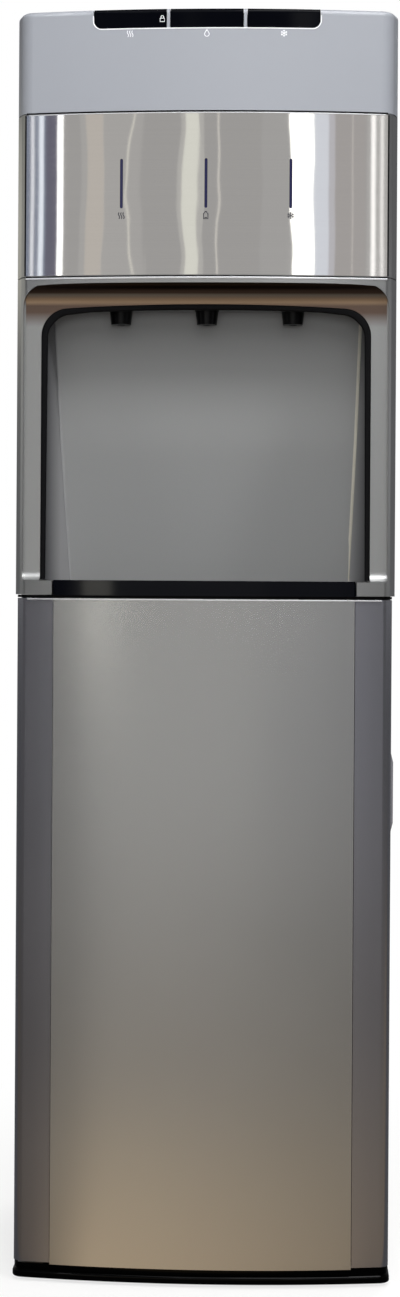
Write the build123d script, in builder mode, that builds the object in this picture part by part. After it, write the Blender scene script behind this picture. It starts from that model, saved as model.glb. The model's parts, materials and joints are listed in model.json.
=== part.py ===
"""Bottom-loading water dispenser, built as separate pieces. Millimetres, front at -Y, floor at Z 0."""
import math
import os

from build123d import *

os.makedirs("parts", exist_ok=True)

# Overall size
body_width = 310.0
body_depth = 360.0
body_height = 1050.0
half_width = body_width / 2
apex_y = -body_depth / 2

# Crowned front
bow_depth = 14.78
bow_radius = (half_width**2 + bow_depth**2) / (2 * bow_depth)
bow_centre_y = apex_y + bow_radius

# Levels: the base from the floor up, all else from the top down
foot_gap = 3.0
toe_top = 10.0
base_top = 14.0
floor_top = 20.0
door_bottom = 16.5
door_top = body_height - 485.0
deck_top = door_top + 2.2
sill_bottom = door_top + 3.0
sill_top = sill_bottom + 12.0
arch_top = body_height - 241.0
ceiling_z = arch_top - 1.5
lip_bottom = arch_top + 15.5
frame_top = lip_bottom + 5.0
shadow_gap = 0.7
carrier_bottom = frame_top + shadow_gap
head_bottom = body_height - 84.8
carrier_top = head_bottom - shadow_gap
head_top = body_height - 0.6
panel_top = head_top - 18.0

# Material thickness and fits
sheet = 1.0
wall = 2.5
fit = 0.2
run_gap = 0.4
glue_gap = 0.15

# Front mouldings: narrower than the cabinet in front, flared out past its sides behind
mould_half = half_width - 3.0
flare_half = half_width + 2.5
flare_y = apex_y + 32.0
mould_back_y = apex_y + 55.0
mould_corner = 7.0
head_corner = 13.0

# Cabinet planes
cabinet_front_y = apex_y + 40.0
door_back_y = cabinet_front_y - 2.0
panel_front_y = mould_back_y + run_gap
rear_y = body_depth / 2 - 30.0
rear_skin = rear_y + sheet
flange = 13.0

# Room inside for the tanks, the compressor and the pump
cold_share = 26 / 45
side_room = (12.0, 8.0)
tank_gap = 18.0
tank_room = half_width - sheet - (sum(side_room) + tank_gap) / 2
foam_outer = cold_share * tank_room
jacket_outer = (1 - cold_share) * tank_room
cold_xy = (half_width - sheet - side_room[1] - foam_outer, rear_y - 10.0 - foam_outer)
hot_xy = (jacket_outer + side_room[0] + sheet - half_width, rear_y - 23.0 - jacket_outer)
comp_radius = body_width * 58 / 310
comp_xy = (-body_width * 55 / 310, rear_y - 20.0 - comp_radius)
comp_end_x = comp_xy[0] + comp_radius
hose_x = half_width - 35.0
hose_y = rear_y - 38.0


def front_y(x, inset=0.0):
    """Y of the crowned front at a given X, set back by an inset."""
    return bow_centre_y - math.sqrt((bow_radius - inset) ** 2 - x**2)


def bowed_plan(z, half, inset, back_y, corner=0.0):
    """Plan face at height z with a crowned front edge."""
    side_y = front_y(half, inset)
    with BuildSketch(Plane.XY.offset(z)) as plan:
        with BuildLine():
            crown = ThreePointArc((-half, side_y), (0, front_y(0, inset)), (half, side_y))
            Polyline(crown @ 1, (half, back_y), (-half, back_y), crown @ 0)
        make_face()
        if corner:
            fillet(plan.vertices().group_by(Axis.Y)[0], corner)
    return plan.sketch


def moulding_plan(z, inset=0.0, back_y=mould_back_y, corner=mould_corner):
    """Plan of the head and the upper front mouldings: crowned front, flared sides, straight rear."""
    front_half, side_half = mould_half - inset, flare_half - inset
    end_y = front_y(front_half, inset)
    side = [(side_half, flare_y), (side_half, back_y)]
    if back_y < flare_y:
        share = (back_y - end_y) / (flare_y - end_y)
        side = [(front_half + share * (side_half - front_half), back_y)]
    with BuildSketch(Plane.XY.offset(z)) as plan:
        with BuildLine():
            crown = ThreePointArc((-front_half, end_y), (0, front_y(0, inset)), (front_half, end_y))
            Polyline(crown @ 1, *side, *[(-x, y) for x, y in reversed(side)], crown @ 0)
        make_face()
        fillet(plan.vertices().group_by(Axis.Y)[0], max(corner - inset, 0.5))
    return plan.sketch


def facing_front(y):
    """Plane at depth y that looks out of the front."""
    return Plane(origin=(0, y, 0), x_dir=(1, 0, 0), z_dir=(0, -1, 0))


def block(x0, x1, y0, y1, z0, z1, mode=Mode.ADD):
    """Box between two corners."""
    with Locations(((x0 + x1) / 2, (y0 + y1) / 2, (z0 + z1) / 2)):
        Box(x1 - x0, y1 - y0, z1 - z0, mode=mode)


def rod_z(x, y, z0, z1, radius, mode=Mode.ADD):
    """Upright cylinder."""
    with Locations((x, y, (z0 + z1) / 2)):
        Cylinder(radius, z1 - z0, mode=mode)


def rod_y(x, z, y0, y1, radius, mode=Mode.ADD):
    """Cylinder that runs from front to back."""
    with Locations(Location((x, (y0 + y1) / 2, z), (90, 0, 0))):
        Cylinder(radius, y1 - y0, mode=mode)


def rod_x(y, z, x0, x1, radius, mode=Mode.ADD):
    """Cylinder that runs from left to right."""
    with Locations(Location(((x0 + x1) / 2, y, z), (0, 90, 0))):
        Cylinder(radius, x1 - x0, mode=mode)


def pipe(points, bend, radius, bore=0.0):
    """Round tube along straight runs with rounded bends."""
    with BuildPart() as tube:
        with BuildLine() as route:
            if len(points) > 2:
                FilletPolyline(*points, radius=bend)
            else:
                Line(*points)
        with BuildSketch(Plane(origin=route.line @ 0, z_dir=route.line % 0)):
            Circle(radius)
            if bore:
                Circle(bore, mode=Mode.SUBTRACT)
        sweep(path=route.line)
    return tube.part


def save(piece, name):
    """Label a finished piece and write its file."""
    piece.part.label = name
    export_step(piece.part, os.path.join("parts", name + ".step"))


# Base plinth: a rounded toe in front and a flat pan that carries the bottle
toe_inset = 1.5
toe_half = half_width + 1.0
toe_corner = 10.0
band_step = 6.0
foot_radius = 13.0
foot_seat = 2.0
foot_x_in = half_width - 33.0
foot_xs = (-foot_x_in, foot_x_in)
foot_ys = (cabinet_front_y + 22.0, rear_y - 32.0)
foot_places = [(x, y) for x in foot_xs for y in foot_ys]
with BuildPart() as base_plinth:
    toe = bowed_plan(foot_gap, toe_half, toe_inset, rear_y, corner=toe_corner)
    extrude(toe, amount=toe_top - foot_gap)
    toe_edges = base_plinth.edges().filter_by(lambda e: e.center().Y < cabinet_front_y)
    fillet(toe_edges.group_by(Axis.Z)[-1], 3.0)
    toe_edges = base_plinth.edges().filter_by(lambda e: e.center().Y < cabinet_front_y)
    fillet(toe_edges.group_by(Axis.Z)[0], 1.5)
    band = bowed_plan(toe_top, half_width, toe_inset + band_step, rear_y, corner=toe_corner)
    extrude(band, amount=base_top - toe_top)
    pan_half = half_width - sheet - 0.5
    block(-pan_half, pan_half, cabinet_front_y + 1.5, rear_y - 1.5, base_top, floor_top)
    hollow_half = half_width - 8.0
    hollow_y = (cabinet_front_y + 8, rear_y - 6)
    block(-hollow_half, hollow_half, *hollow_y, foot_gap - 1, floor_top - 4, Mode.SUBTRACT)
    for foot_x, foot_y in foot_places:
        rod_z(foot_x, foot_y, foot_gap, floor_top - 3, foot_radius + 4)
        rod_z(foot_x, foot_y, foot_gap - 1, foot_gap + foot_seat, foot_radius + fit, Mode.SUBTRACT)
save(base_plinth, "base_plinth")

# Four rubber feet in round seats
with BuildPart() as rubber_feet:
    for foot_x, foot_y in foot_places:
        rod_z(foot_x, foot_y, 0, foot_gap + foot_seat, foot_radius)
save(rubber_feet, "rubber_feet")

# Side panels: folded sheet, cut back below where the door closes against it
screw_ends = (70.0, body_height - 100.0)
screw_step = (screw_ends[1] - screw_ends[0]) / 3
screw_zs = [screw_ends[0] + step * screw_step for step in range(4)]
screw_x = half_width - flange / 2
screw_radius = 1.6
screw_places = [(side * screw_x, z) for side in (-1, 1) for z in screw_zs]


def side_panel(side):
    """One side panel: wall, front return beside the door, rear return for the rear panel."""
    outer, inner, tip = side * half_width, side * (half_width - sheet), side * (half_width - flange)
    with BuildPart() as panel:
        block(min(outer, inner), max(outer, inner), cabinet_front_y, rear_y, base_top, door_top)
        block(min(outer, inner), max(outer, inner), panel_front_y, rear_y, door_top, panel_top)
        front_return = (cabinet_front_y, cabinet_front_y + sheet, base_top, door_top)
        block(min(outer, tip), max(outer, tip), *front_return)
        block(min(outer, tip), max(outer, tip), rear_y - sheet, rear_y, base_top, panel_top)
        for hole_x, hole_z in screw_places:
            rod_y(hole_x, hole_z, rear_y - 3, rear_y + 3, screw_radius + fit, Mode.SUBTRACT)
    return panel


left_side_panel = side_panel(-1)
save(left_side_panel, "left_side_panel")
right_side_panel = side_panel(1)
save(right_side_panel, "right_side_panel")

# Places on the back
condenser_y = body_depth / 2 - 4.0
condenser_top = body_height - 290.0
run_half = half_width - 45.0
pipe_radius = 3.0
discharge_x = -run_half - 22.0
capillary_x = -run_half - 28.5
capillary_z = condenser_top - 160.0
capillary_radius = 1.2
rocker_z = body_height - 125.0
rocker_xs = (27.0 - half_width, 53.0 - half_width)
shelf_z = ceiling_z + 7.5
drain_x = hot_xy[0]
drain_z = shelf_z + 27.0
drain_radius = 6.0
gland_x = half_width - 37.0
gland_z = body_height - 252.0
gland_radius = 8.5
gland_bore = 3.8
housing_width = 15.0
housing_height = 22.0

# Rear panel with louvres and cut-outs
upper_louvres = (half_width - 110.0, body_height - 130.0)
lower_louvres = (0.0, body_height - 378.0)
louvre_width = 4.0
with BuildPart() as rear_panel:
    rear_half = half_width - 1.2
    block(-rear_half, rear_half, rear_y, rear_skin, base_top, panel_top)
    for hole_x, hole_z in screw_places:
        rod_y(hole_x, hole_z, rear_y - 3, rear_y + 3, screw_radius + fit, Mode.SUBTRACT)
    rod_y(discharge_x, condenser_top, rear_y - 3, rear_y + 3, pipe_radius + 0.6, Mode.SUBTRACT)
    rod_y(capillary_x, capillary_z, rear_y - 3, rear_y + 3, capillary_radius + 0.6, Mode.SUBTRACT)
    rod_y(drain_x, drain_z, rear_y - 3, rear_y + 3, drain_radius + fit, Mode.SUBTRACT)
    rod_y(gland_x, gland_z, rear_y - 3, rear_y + 3, gland_radius + fit, Mode.SUBTRACT)
    with BuildSketch(facing_front(rear_y + 3)):
        with Locations(*[(x, rocker_z) for x in rocker_xs]):
            Rectangle(housing_width, housing_height)
        with Locations(upper_louvres):
            with GridLocations(74, 14, 2, 7):
                SlotOverall(62, louvre_width)
        with Locations(lower_louvres):
            with GridLocations(84, 16, 3, 9):
                SlotOverall(68, louvre_width)
    extrude(amount=6, mode=Mode.SUBTRACT)
save(rear_panel, "rear_panel")

# Pan head screws that hold the rear panel
with BuildPart() as rear_screws:
    for hole_x, hole_z in screw_places:
        rod_y(hole_x, hole_z, rear_skin, rear_skin + 2.2, 3.6)
        rod_y(hole_x, hole_z, rear_y - 6, rear_skin, screw_radius)
save(rear_screws, "rear_screws")

# Deck over the bottle space
deck_thick = 1.2
deck_half = half_width - sheet - fit
hose_radius = 6.0
hose_bore = 4.2
with BuildPart() as mid_deck:
    deck_y = (cabinet_front_y + 2, rear_y - sheet - fit)
    block(-deck_half, deck_half, *deck_y, deck_top - deck_thick, deck_top)
    for side in (-1, 1):
        edge, lap = side * deck_half, side * (deck_half - deck_thick)
        block(min(edge, lap), max(edge, lap), cabinet_front_y + 3, deck_y[1], deck_top - 11, deck_top)
    rod_z(hose_x, hose_y, deck_top - 5, deck_top + 5, hose_radius + 0.6, Mode.SUBTRACT)
save(mid_deck, "mid_deck")

# Shelf under the tanks
feed_x = half_width - 17.0
feed_y = cold_xy[1] - foam_outer - 26.0
with BuildPart() as tank_shelf:
    shelf_y = (feed_y - 36.0, rear_y - sheet - fit)
    block(-deck_half, deck_half, *shelf_y, shelf_z, shelf_z + deck_thick)
    for side in (-1, 1):
        edge, lap = side * deck_half, side * (deck_half - deck_thick)
        block(min(edge, lap), max(edge, lap), *shelf_y, shelf_z - 11, shelf_z + deck_thick)
    rod_z(feed_x, feed_y, shelf_z - 5, shelf_z + 5, hose_radius + 0.6, Mode.SUBTRACT)
save(tank_shelf, "tank_shelf")

# Keys along the top front edge
key_width = 59.8
key_pitch = 63.1
key_rib = key_pitch - key_width - 2 * run_gap
key_inset = wall + 0.5
key_bottom = body_height - 23.0
key_opening_bottom = body_height - 17.0
key_back_y = apex_y + 51.2
pocket_back_y = key_back_y + 0.8
key_plate = 3.0
key_skirt = 2.5
axle_radius = 1.5
axle_fit = 0.06
axle_y = key_back_y - 5.2
axle_z = body_height - 6.5
axle_half = 100.0
key_xs = (-key_pitch, 0.0, key_pitch)
board_half = 107.0
board_top = body_height - 30.4
board_thick = 1.6
board_y = (apex_y + 12.0, apex_y + 42.0)
post_x = 102.0
switch_y = apex_y + 30.0

# Head shell: front band, top and rear skirt in one moulding
head_round = 4.5
head_rear_y = rear_skin + 0.5
with BuildPart() as head_shell:
    outside = moulding_plan(head_bottom, 0, head_rear_y, head_corner)
    extrude(outside, amount=head_top - head_bottom)
    fillet(head_shell.edges().group_by(Axis.Z)[-1], head_round)
    inside = moulding_plan(head_bottom - 1, wall, head_rear_y - wall, head_corner)
    extrude(inside, amount=head_top - wall - head_bottom + 1, mode=Mode.SUBTRACT)
    skirt_y = (mould_back_y, head_rear_y + 5)
    block(-flare_half - 5, flare_half + 5, *skirt_y, head_bottom - 5, panel_top + 0.5, Mode.SUBTRACT)
    with BuildSketch(facing_front(pocket_back_y)):
        opening_width = 3 * key_width + 2 * key_rib + 6 * run_gap
        opening_mid = (key_opening_bottom + body_height + 20) / 2
        with Locations((0, opening_mid)):
            RectangleRounded(opening_width, body_height + 20 - key_opening_bottom, 7)
        with Locations((-key_pitch / 2, opening_mid), (key_pitch / 2, opening_mid)):
            Rectangle(key_rib, 60, mode=Mode.SUBTRACT)
    extrude(amount=70, mode=Mode.SUBTRACT)
    for rib_x in (-key_pitch / 2, key_pitch / 2):
        rib_edges = (rib_x - key_rib / 2, rib_x + key_rib / 2)
        block(*rib_edges, axle_y - 4, pocket_back_y + 3, axle_z - 4, head_top - 1)
    for side in (-1, 1):
        lug_x = side * (opening_width / 2 + 3.5)
        block(lug_x - 1.5, lug_x + 1.5, axle_y - 4, axle_y + 4, axle_z - 4, head_top - 1)
        rod_z(side * post_x, switch_y, board_top, head_top - 1, 3.5)
    rod_x(axle_y, axle_z, -axle_half, axle_half, axle_radius + axle_fit, Mode.SUBTRACT)
save(head_shell, "head_shell")

# Axle that the three keys swing on
with BuildPart() as button_axle:
    rod_x(axle_y, axle_z, 1 - axle_half, axle_half - 1, axle_radius)
save(button_axle, "button_axle")

# Child lock: a slide let into the hot key
lock_x = key_xs[0] + 16.5
lock_y = apex_y + 22.0
lock_size = (10.0, 8.0, 1.6)
lock_travel = 5.0
lock_pocket = 1.8
lock_gap = 0.3

# The three keys
switch_top = board_top + 8.0
press_room = 2.0
spring_y = apex_y + 17.0


def key(key_x):
    """One key: top plate, front skirt, two eyes on the axle and a post over its switch."""
    x0, x1 = key_x - key_width / 2, key_x + key_width / 2
    with BuildPart() as body:
        extrude(bowed_plan(key_bottom, 120, key_inset, key_back_y), amount=body_height - key_bottom)
        block(x0, x1, apex_y - 5, key_back_y + 5, key_bottom - 5, body_height + 5, Mode.INTERSECT)
        top_front = body.edges().group_by(Axis.Z)[-1].sort_by(Axis.Y)[0]
        fillet(top_front, 3.5)
        room = bowed_plan(key_bottom - 1, 120, key_inset + key_skirt, key_back_y + 5)
        extrude(room, amount=body_height - key_plate - key_bottom + 1, mode=Mode.SUBTRACT)
        for eye_x in (x0 + 9, x1 - 9):
            block(eye_x - 6, eye_x + 6, axle_y - 3.5, axle_y + 3.5, axle_z, body_height - key_plate + 1)
            rod_x(axle_y, axle_z, eye_x - 6, eye_x + 6, 3.5)
        rod_x(axle_y, axle_z, x0 - 1, x1 + 1, axle_radius + axle_fit, Mode.SUBTRACT)
        block(key_x - 3, key_x + 3, switch_y - 3, switch_y + 3, switch_top + press_room, body_height - 1)
        if key_x == key_xs[0]:
            pocket = (lock_size[0] / 2 + lock_travel / 2 + lock_gap, lock_size[1] / 2 + lock_gap)
            lock_mid = lock_x + lock_travel / 2
            pocket_x = (lock_mid - pocket[0], lock_mid + pocket[0])
            pocket_y = (lock_y - pocket[1], lock_y + pocket[1])
            block(*pocket_x, *pocket_y, body_height - lock_pocket, body_height + 1, Mode.SUBTRACT)
            slot_half = 2 + lock_travel / 2 + lock_gap
            slot_x = (lock_mid - slot_half, lock_mid + slot_half)
            block(*slot_x, lock_y - 2, lock_y + 2, body_height - 5, body_height, Mode.SUBTRACT)
    return body


hot_button = key(key_xs[0])
save(hot_button, "hot_button")
normal_button = key(key_xs[1])
save(normal_button, "normal_button")
cold_button = key(key_xs[2])
save(cold_button, "cold_button")

with BuildPart() as child_lock:
    lock_under = body_height - lock_pocket + 0.1
    lock_edge = lock_under + lock_size[2]
    lock_half = (lock_size[0] / 2, lock_size[1] / 2)
    slide_x = (lock_x - lock_half[0], lock_x + lock_half[0])
    slide_y = (lock_y - lock_half[1], lock_y + lock_half[1])
    block(*slide_x, *slide_y, lock_under, lock_edge)
    for rib in (-2.5, 0.0, 2.5):
        block(lock_x + rib - 0.4, lock_x + rib + 0.4, lock_y - 3, lock_y + 3, lock_edge - 0.5, body_height)
    neck_bottom = body_height - key_plate - 0.3
    block(lock_x - 2, lock_x + 2, lock_y - 1.7, lock_y + 1.7, neck_bottom, lock_under)
    block(lock_x - 4, lock_x + 4, lock_y - 3.5, lock_y + 3.5, neck_bottom - 1.4, neck_bottom)
save(child_lock, "child_lock")

# Board with the key switches, under the keys
with BuildPart() as button_board:
    block(-board_half, board_half, *board_y, board_top - board_thick, board_top)
save(button_board, "button_board")

with BuildPart() as button_switches:
    for key_x in key_xs:
        block(key_x - 6, key_x + 6, switch_y - 6, switch_y + 6, board_top, board_top + 5.5)
        rod_z(key_x, switch_y, board_top + 5.5, switch_top, 2.4)
save(button_switches, "button_switches")

# Return springs between the board and the keys
spring_radius = 3.2
spring_wire = 0.45
spring_height = body_height - key_plate - board_top - 2 * spring_wire - 0.1
with BuildPart() as button_springs:
    for key_x in key_xs:
        start = (key_x + 16, spring_y, board_top + spring_wire + 0.05)
        with BuildLine() as coil:
            Helix(pitch=spring_height / 6, height=spring_height, radius=spring_radius, center=start)
        with BuildSketch(Plane(origin=coil.line @ 0, z_dir=coil.line % 0)):
            Circle(spring_wire)
        sweep(path=coil.line, is_frenet=True)
save(button_springs, "button_springs")

# Fascia carrier: moulding behind the steel, open at the back
steel_thick = 0.8
steel_half = mould_half - 3.1
slot_pitch = 69.5
slot_mid_z = carrier_bottom + 75.6
slot_height = 40.5
slot_width = 2.2
lamp_y = apex_y + 14.0
slot_xs = (-slot_pitch, 0.0, slot_pitch)
steel_bottom = carrier_bottom + 0.8
steel_top = carrier_top - 0.8
with BuildPart() as fascia_carrier:
    extrude(moulding_plan(carrier_bottom), amount=carrier_top - carrier_bottom)
    hollow = moulding_plan(carrier_bottom - 1, wall, mould_back_y + 1)
    extrude(hollow, amount=carrier_top - carrier_bottom + 2, mode=Mode.SUBTRACT)
    seat_half = steel_half + fit
    tool = bowed_plan(steel_bottom - fit, seat_half, -5, mould_back_y)
    keep = bowed_plan(steel_bottom - fit, seat_half + 1, steel_thick + glue_gap, mould_back_y + 5)
    extrude(tool - keep, amount=steel_top - steel_bottom + 2 * fit, mode=Mode.SUBTRACT)
    with BuildSketch(facing_front(lamp_y)):
        with Locations(*[(x, slot_mid_z) for x in slot_xs]):
            SlotOverall(slot_height + 2 * fit, slot_width + 2 * fit, rotation=90)
    extrude(amount=30, mode=Mode.SUBTRACT)
    for side in (-1, 1):
        rod_y(side * 90, slot_mid_z, front_y(90, wall - 0.5), lamp_y, 3)
save(fascia_carrier, "fascia_carrier")

# Brushed steel fascia
with BuildPart() as steel_fascia:
    plate = bowed_plan(steel_bottom, steel_half, 0, mould_back_y)
    behind = bowed_plan(steel_bottom, steel_half + 1, steel_thick, mould_back_y + 5)
    extrude(plate - behind, amount=steel_top - steel_bottom)
    with BuildSketch(facing_front(lamp_y)):
        with Locations(*[(x, slot_mid_z) for x in slot_xs]):
            SlotOverall(slot_height + fit, slot_width + fit, rotation=90)
    extrude(amount=30, mode=Mode.SUBTRACT)
save(steel_fascia, "steel_fascia")

# Indicator lenses and their board
with BuildPart() as indicator_lenses:
    for slot_x in slot_xs:
        lens_front = front_y(slot_x, 0.3)
        with BuildSketch(facing_front(lamp_y - fit)):
            with Locations((slot_x, slot_mid_z)):
                SlotOverall(slot_height, slot_width, rotation=90)
        extrude(amount=lamp_y - fit - lens_front)
        with BuildSketch(facing_front(lamp_y - fit)):
            with Locations((slot_x, slot_mid_z)):
                SlotOverall(slot_height + 6, slot_width + 4, rotation=90)
        extrude(amount=3)
save(indicator_lenses, "indicator_lenses")

with BuildPart() as indicator_board:
    block(-96, 96, lamp_y, lamp_y + board_thick, slot_mid_z - 28, slot_mid_z + 28)
save(indicator_board, "indicator_board")

# Alcove frame: crowned lip above, pillars set back, two lugs beside the tray
pillar_y = apex_y + 22.0
pillar_back_y = pillar_y + 3.0
scoop_half = mould_half - 1.2
scoop_corner = 19.0
cove_radius = 17.0
foot_cove = 8.0
opening_half = mould_half - 15.5
opening_rise = 5.0
opening_corner = 23.0
seam_half = half_width - 30.5
tray_half = seam_half


def arch(plane, half, top, bottom, corner):
    """Arched doorway shape with a slightly crowned top."""
    with BuildSketch(plane) as shape:
        with BuildLine():
            crown = ThreePointArc((-half, top - opening_rise), (0, top), (half, top - opening_rise))
            Polyline(crown @ 1, (half, bottom), (-half, bottom), crown @ 0)
        make_face()
        upper = shape.vertices().sort_by(Axis.Y)[-2:]
        fillet(upper, corner)
    return shape.sketch


with BuildPart() as scoop:
    with BuildSketch(Plane.YZ.offset(-flare_half)):
        with BuildLine():
            edge_a = Line((apex_y - 20, sill_top), (pillar_y - foot_cove, sill_top))
            edge_b = TangentArc(edge_a @ 1, (pillar_y, sill_top + foot_cove), tangent=(1, 0))
            edge_c = Line(edge_b @ 1, (pillar_y, lip_bottom - cove_radius))
            edge_d = TangentArc(edge_c @ 1, (pillar_y - cove_radius, lip_bottom), tangent=(0, 1))
            Polyline(edge_d @ 1, (apex_y - 20, lip_bottom), edge_a @ 0)
        make_face()
    extrude(amount=2 * flare_half)
    with BuildSketch(facing_front(pillar_y + 5)) as window:
        with Locations((0, (lip_bottom + sill_top) / 2)):
            Rectangle(2 * scoop_half, lip_bottom - sill_top)
        fillet(window.vertices().sort_by(Axis.Y)[-2:], scoop_corner)
    extrude(amount=80, mode=Mode.INTERSECT)

with BuildPart() as alcove_frame:
    extrude(moulding_plan(sill_bottom), amount=frame_top - sill_bottom)
    room = moulding_plan(sill_top, wall, mould_back_y + 1)
    extrude(room, amount=frame_top - sill_top + 1, mode=Mode.SUBTRACT)
    extrude(moulding_plan(sill_top - 0.5, wall - 0.1, pillar_back_y), amount=frame_top - sill_top + 0.5)
    add(scoop.part, mode=Mode.SUBTRACT)
    doorway = arch(facing_front(mould_back_y + 2), opening_half, arch_top, sill_top - 0.5, opening_corner)
    extrude(doorway, amount=80, mode=Mode.SUBTRACT)
    tray_room = tray_half + 1.0
    block(-tray_room, tray_room, apex_y - 5, mould_back_y + 5, sill_bottom - 1, sill_top + 0.5, Mode.SUBTRACT)
save(alcove_frame, "alcove_frame")

# Alcove liner: tapered walls, ceiling and a back wall that bends away towards the tray
liner_front_y = pillar_back_y + fit
back_low_y = comp_xy[1] - comp_radius - 24.0
liner_deep_y = back_low_y + 10.0
liner_half = opening_half - 2.0
liner_taper = math.tan(math.radians(4.6))
liner_bottom = sill_top + 0.3
back_top_y = apex_y + 72.0
back_bend = (back_top_y + 38.0, deck_top + 132.8)
back_bend_radius = 300.0
liner_floor = deck_top + fit
liner_step_y = mould_back_y + 0.5


def cup_space(grow):
    """Space for a cup, grown outwards by a wall thickness."""
    deep_half = liner_half - (liner_deep_y - liner_front_y) * liner_taper
    with BuildPart() as space:
        deep_plane = facing_front(liner_deep_y)
        doorway = arch(deep_plane, liner_half + grow, arch_top + 5, liner_floor, opening_corner + 3)
        extrude(doorway, amount=liner_deep_y - liner_front_y)
        with BuildSketch(Plane.XY.offset(liner_floor - 1)):
            with BuildLine():
                Polyline(
                    (-liner_half - grow, liner_front_y),
                    (liner_half + grow, liner_front_y),
                    (deep_half + grow, liner_deep_y),
                    (-deep_half - grow, liner_deep_y),
                    close=True,
                )
            make_face()
        extrude(amount=lip_bottom - liner_floor, mode=Mode.INTERSECT)
        with BuildSketch(Plane.YZ.offset(-half_width)) as section:
            with BuildLine():
                Polyline(
                    (back_low_y + grow, liner_floor),
                    (back_bend[0] + grow, back_bend[1]),
                    (back_top_y + grow, ceiling_z + grow),
                    (liner_front_y, ceiling_z + grow),
                    (liner_front_y, liner_bottom),
                    (liner_step_y, liner_bottom),
                    (liner_step_y, liner_floor),
                    close=True,
                )
            make_face()
            bend = section.vertices().sort_by_distance((back_bend[0] + grow, back_bend[1], 0))[0]
            fillet(bend, back_bend_radius)
        extrude(amount=body_width, mode=Mode.INTERSECT)
    return space.part


spout_pitch = 72.0
spout_y = apex_y + 50.0
spout_xs = (-spout_pitch, 0.0, spout_pitch)
stem_radius = 6.0
with BuildPart() as alcove_liner:
    add(cup_space(wall - 0.5))
    with BuildSketch(facing_front(liner_front_y + 2)):
        with Locations((0, (liner_bottom + lip_bottom) / 2)):
            Rectangle(2 * (liner_half + 11), lip_bottom - liner_bottom)
    extrude(amount=2)
    add(cup_space(0), mode=Mode.SUBTRACT)
    for spout_x in spout_xs:
        rod_z(spout_x, spout_y, ceiling_z - 5, ceiling_z + 10, stem_radius + fit, Mode.SUBTRACT)
save(alcove_liner, "alcove_liner")

# Spouts: flanged nozzles under the alcove ceiling
spout_bottom = ceiling_z - 13.0
spout_flange = 10.2
valve_bottom = ceiling_z + wall


def spout(spout_x):
    """One nozzle, turned about its own axis."""
    with BuildPart() as nozzle:
        with BuildSketch(Plane.XZ):
            with BuildLine():
                Polyline(
                    (3.5, spout_bottom),
                    (8.3, spout_bottom),
                    (spout_flange - 0.5, ceiling_z - 1.6),
                    (spout_flange, ceiling_z - 1.6),
                    (spout_flange, ceiling_z - 0.1),
                    (stem_radius, ceiling_z - 0.1),
                    (stem_radius, valve_bottom + 8),
                    (3.5, valve_bottom + 8),
                    close=True,
                )
            make_face()
        revolve(axis=Axis.Z)
    nozzle.part.position = (spout_x, spout_y, 0)
    return nozzle


hot_spout = spout(spout_xs[0])
save(hot_spout, "hot_spout")
normal_spout = spout(spout_xs[1])
save(normal_spout, "normal_spout")
cold_spout = spout(spout_xs[2])
save(cold_spout, "cold_spout")

# Solenoid valves on the alcove ceiling
water_z = ceiling_z + 32.5
stub_radius = 4.0
valve_half = 13.0
with BuildPart() as dispense_valves:
    for spout_x in spout_xs:
        valve_y = (spout_y - valve_half, spout_y + valve_half)
        block(spout_x - valve_half, spout_x + valve_half, *valve_y, valve_bottom, water_z + 10)
        rod_z(spout_x, spout_y, water_z + 10, water_z + 40, 12)
        rod_y(spout_x, water_z, valve_y[1] - 1, valve_y[1] + 17, stub_radius)
        rod_z(spout_x, spout_y, valve_bottom - 1, valve_bottom + 8.5, stem_radius + fit, Mode.SUBTRACT)
save(dispense_valves, "dispense_valves")

# Drip tray: a shallow drawer with a crowned front, on the deck
tray_bottom = deck_top + 0.3
tray_top = sill_top
tray_back_y = back_low_y - 20.0
tray_wall = 2.0
tray_corner = 8.0
grille_seat = 2.6


def tray_plan(z, edge):
    """Plan of the tray, set in by an edge, with round corners at the back."""
    with BuildSketch(Plane.XY.offset(z)) as plan:
        add(bowed_plan(z, tray_half - edge, 0.5 + edge, tray_back_y - edge))
        fillet(plan.vertices().group_by(Axis.Y)[-1], tray_corner - edge)
    return plan.sketch


with BuildPart() as drip_tray:
    extrude(tray_plan(tray_bottom, 0), amount=tray_top - tray_bottom)
    fillet(drip_tray.edges().filter_by(Axis.Z).group_by(Axis.Y)[0], 1.5)
    seat_z = tray_top - grille_seat
    extrude(tray_plan(seat_z, tray_wall), amount=grille_seat + 1, mode=Mode.SUBTRACT)
    extrude(tray_plan(tray_bottom + 2, 5), amount=tray_top - tray_bottom, mode=Mode.SUBTRACT)
save(drip_tray, "drip_tray")

# Lift-out grille with three rows of slots
grille_thick = 2.2
grille_edge = tray_wall + 0.3
grille_half = tray_half - grille_edge
grille_bar = 7.0
grille_slot = (2 * (grille_half - 10.2) - 2 * grille_bar) / 3
row_count = 17
row_pitch = (tray_back_y - apex_y - 27.6) / row_count
rows_y = (apex_y + tray_back_y) / 2 + 8.0
with BuildPart() as drip_grille:
    grille_z = tray_top - grille_seat + 0.05
    extrude(tray_plan(grille_z, grille_edge), amount=grille_thick)
    with BuildSketch(Plane.XY.offset(grille_z - 1)):
        with Locations((0, rows_y)):
            with GridLocations(grille_slot + grille_bar, row_pitch, 3, row_count):
                SlotOverall(grille_slot, row_pitch / 2)
    extrude(amount=grille_thick + 2, mode=Mode.SUBTRACT)
save(drip_grille, "drip_grille")

# Door
stile_inset = 2.0
stile_corner = 9.0
hinge_reach = 10.5
hinge_x = hinge_reach - half_width
hinge_y = door_back_y - hinge_reach
pin_radius = 3.0
pin_fit = 0.06
cap_plate = 1.4
stile_bottom = door_bottom + cap_plate
stile_top = door_top - cap_plate


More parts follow.
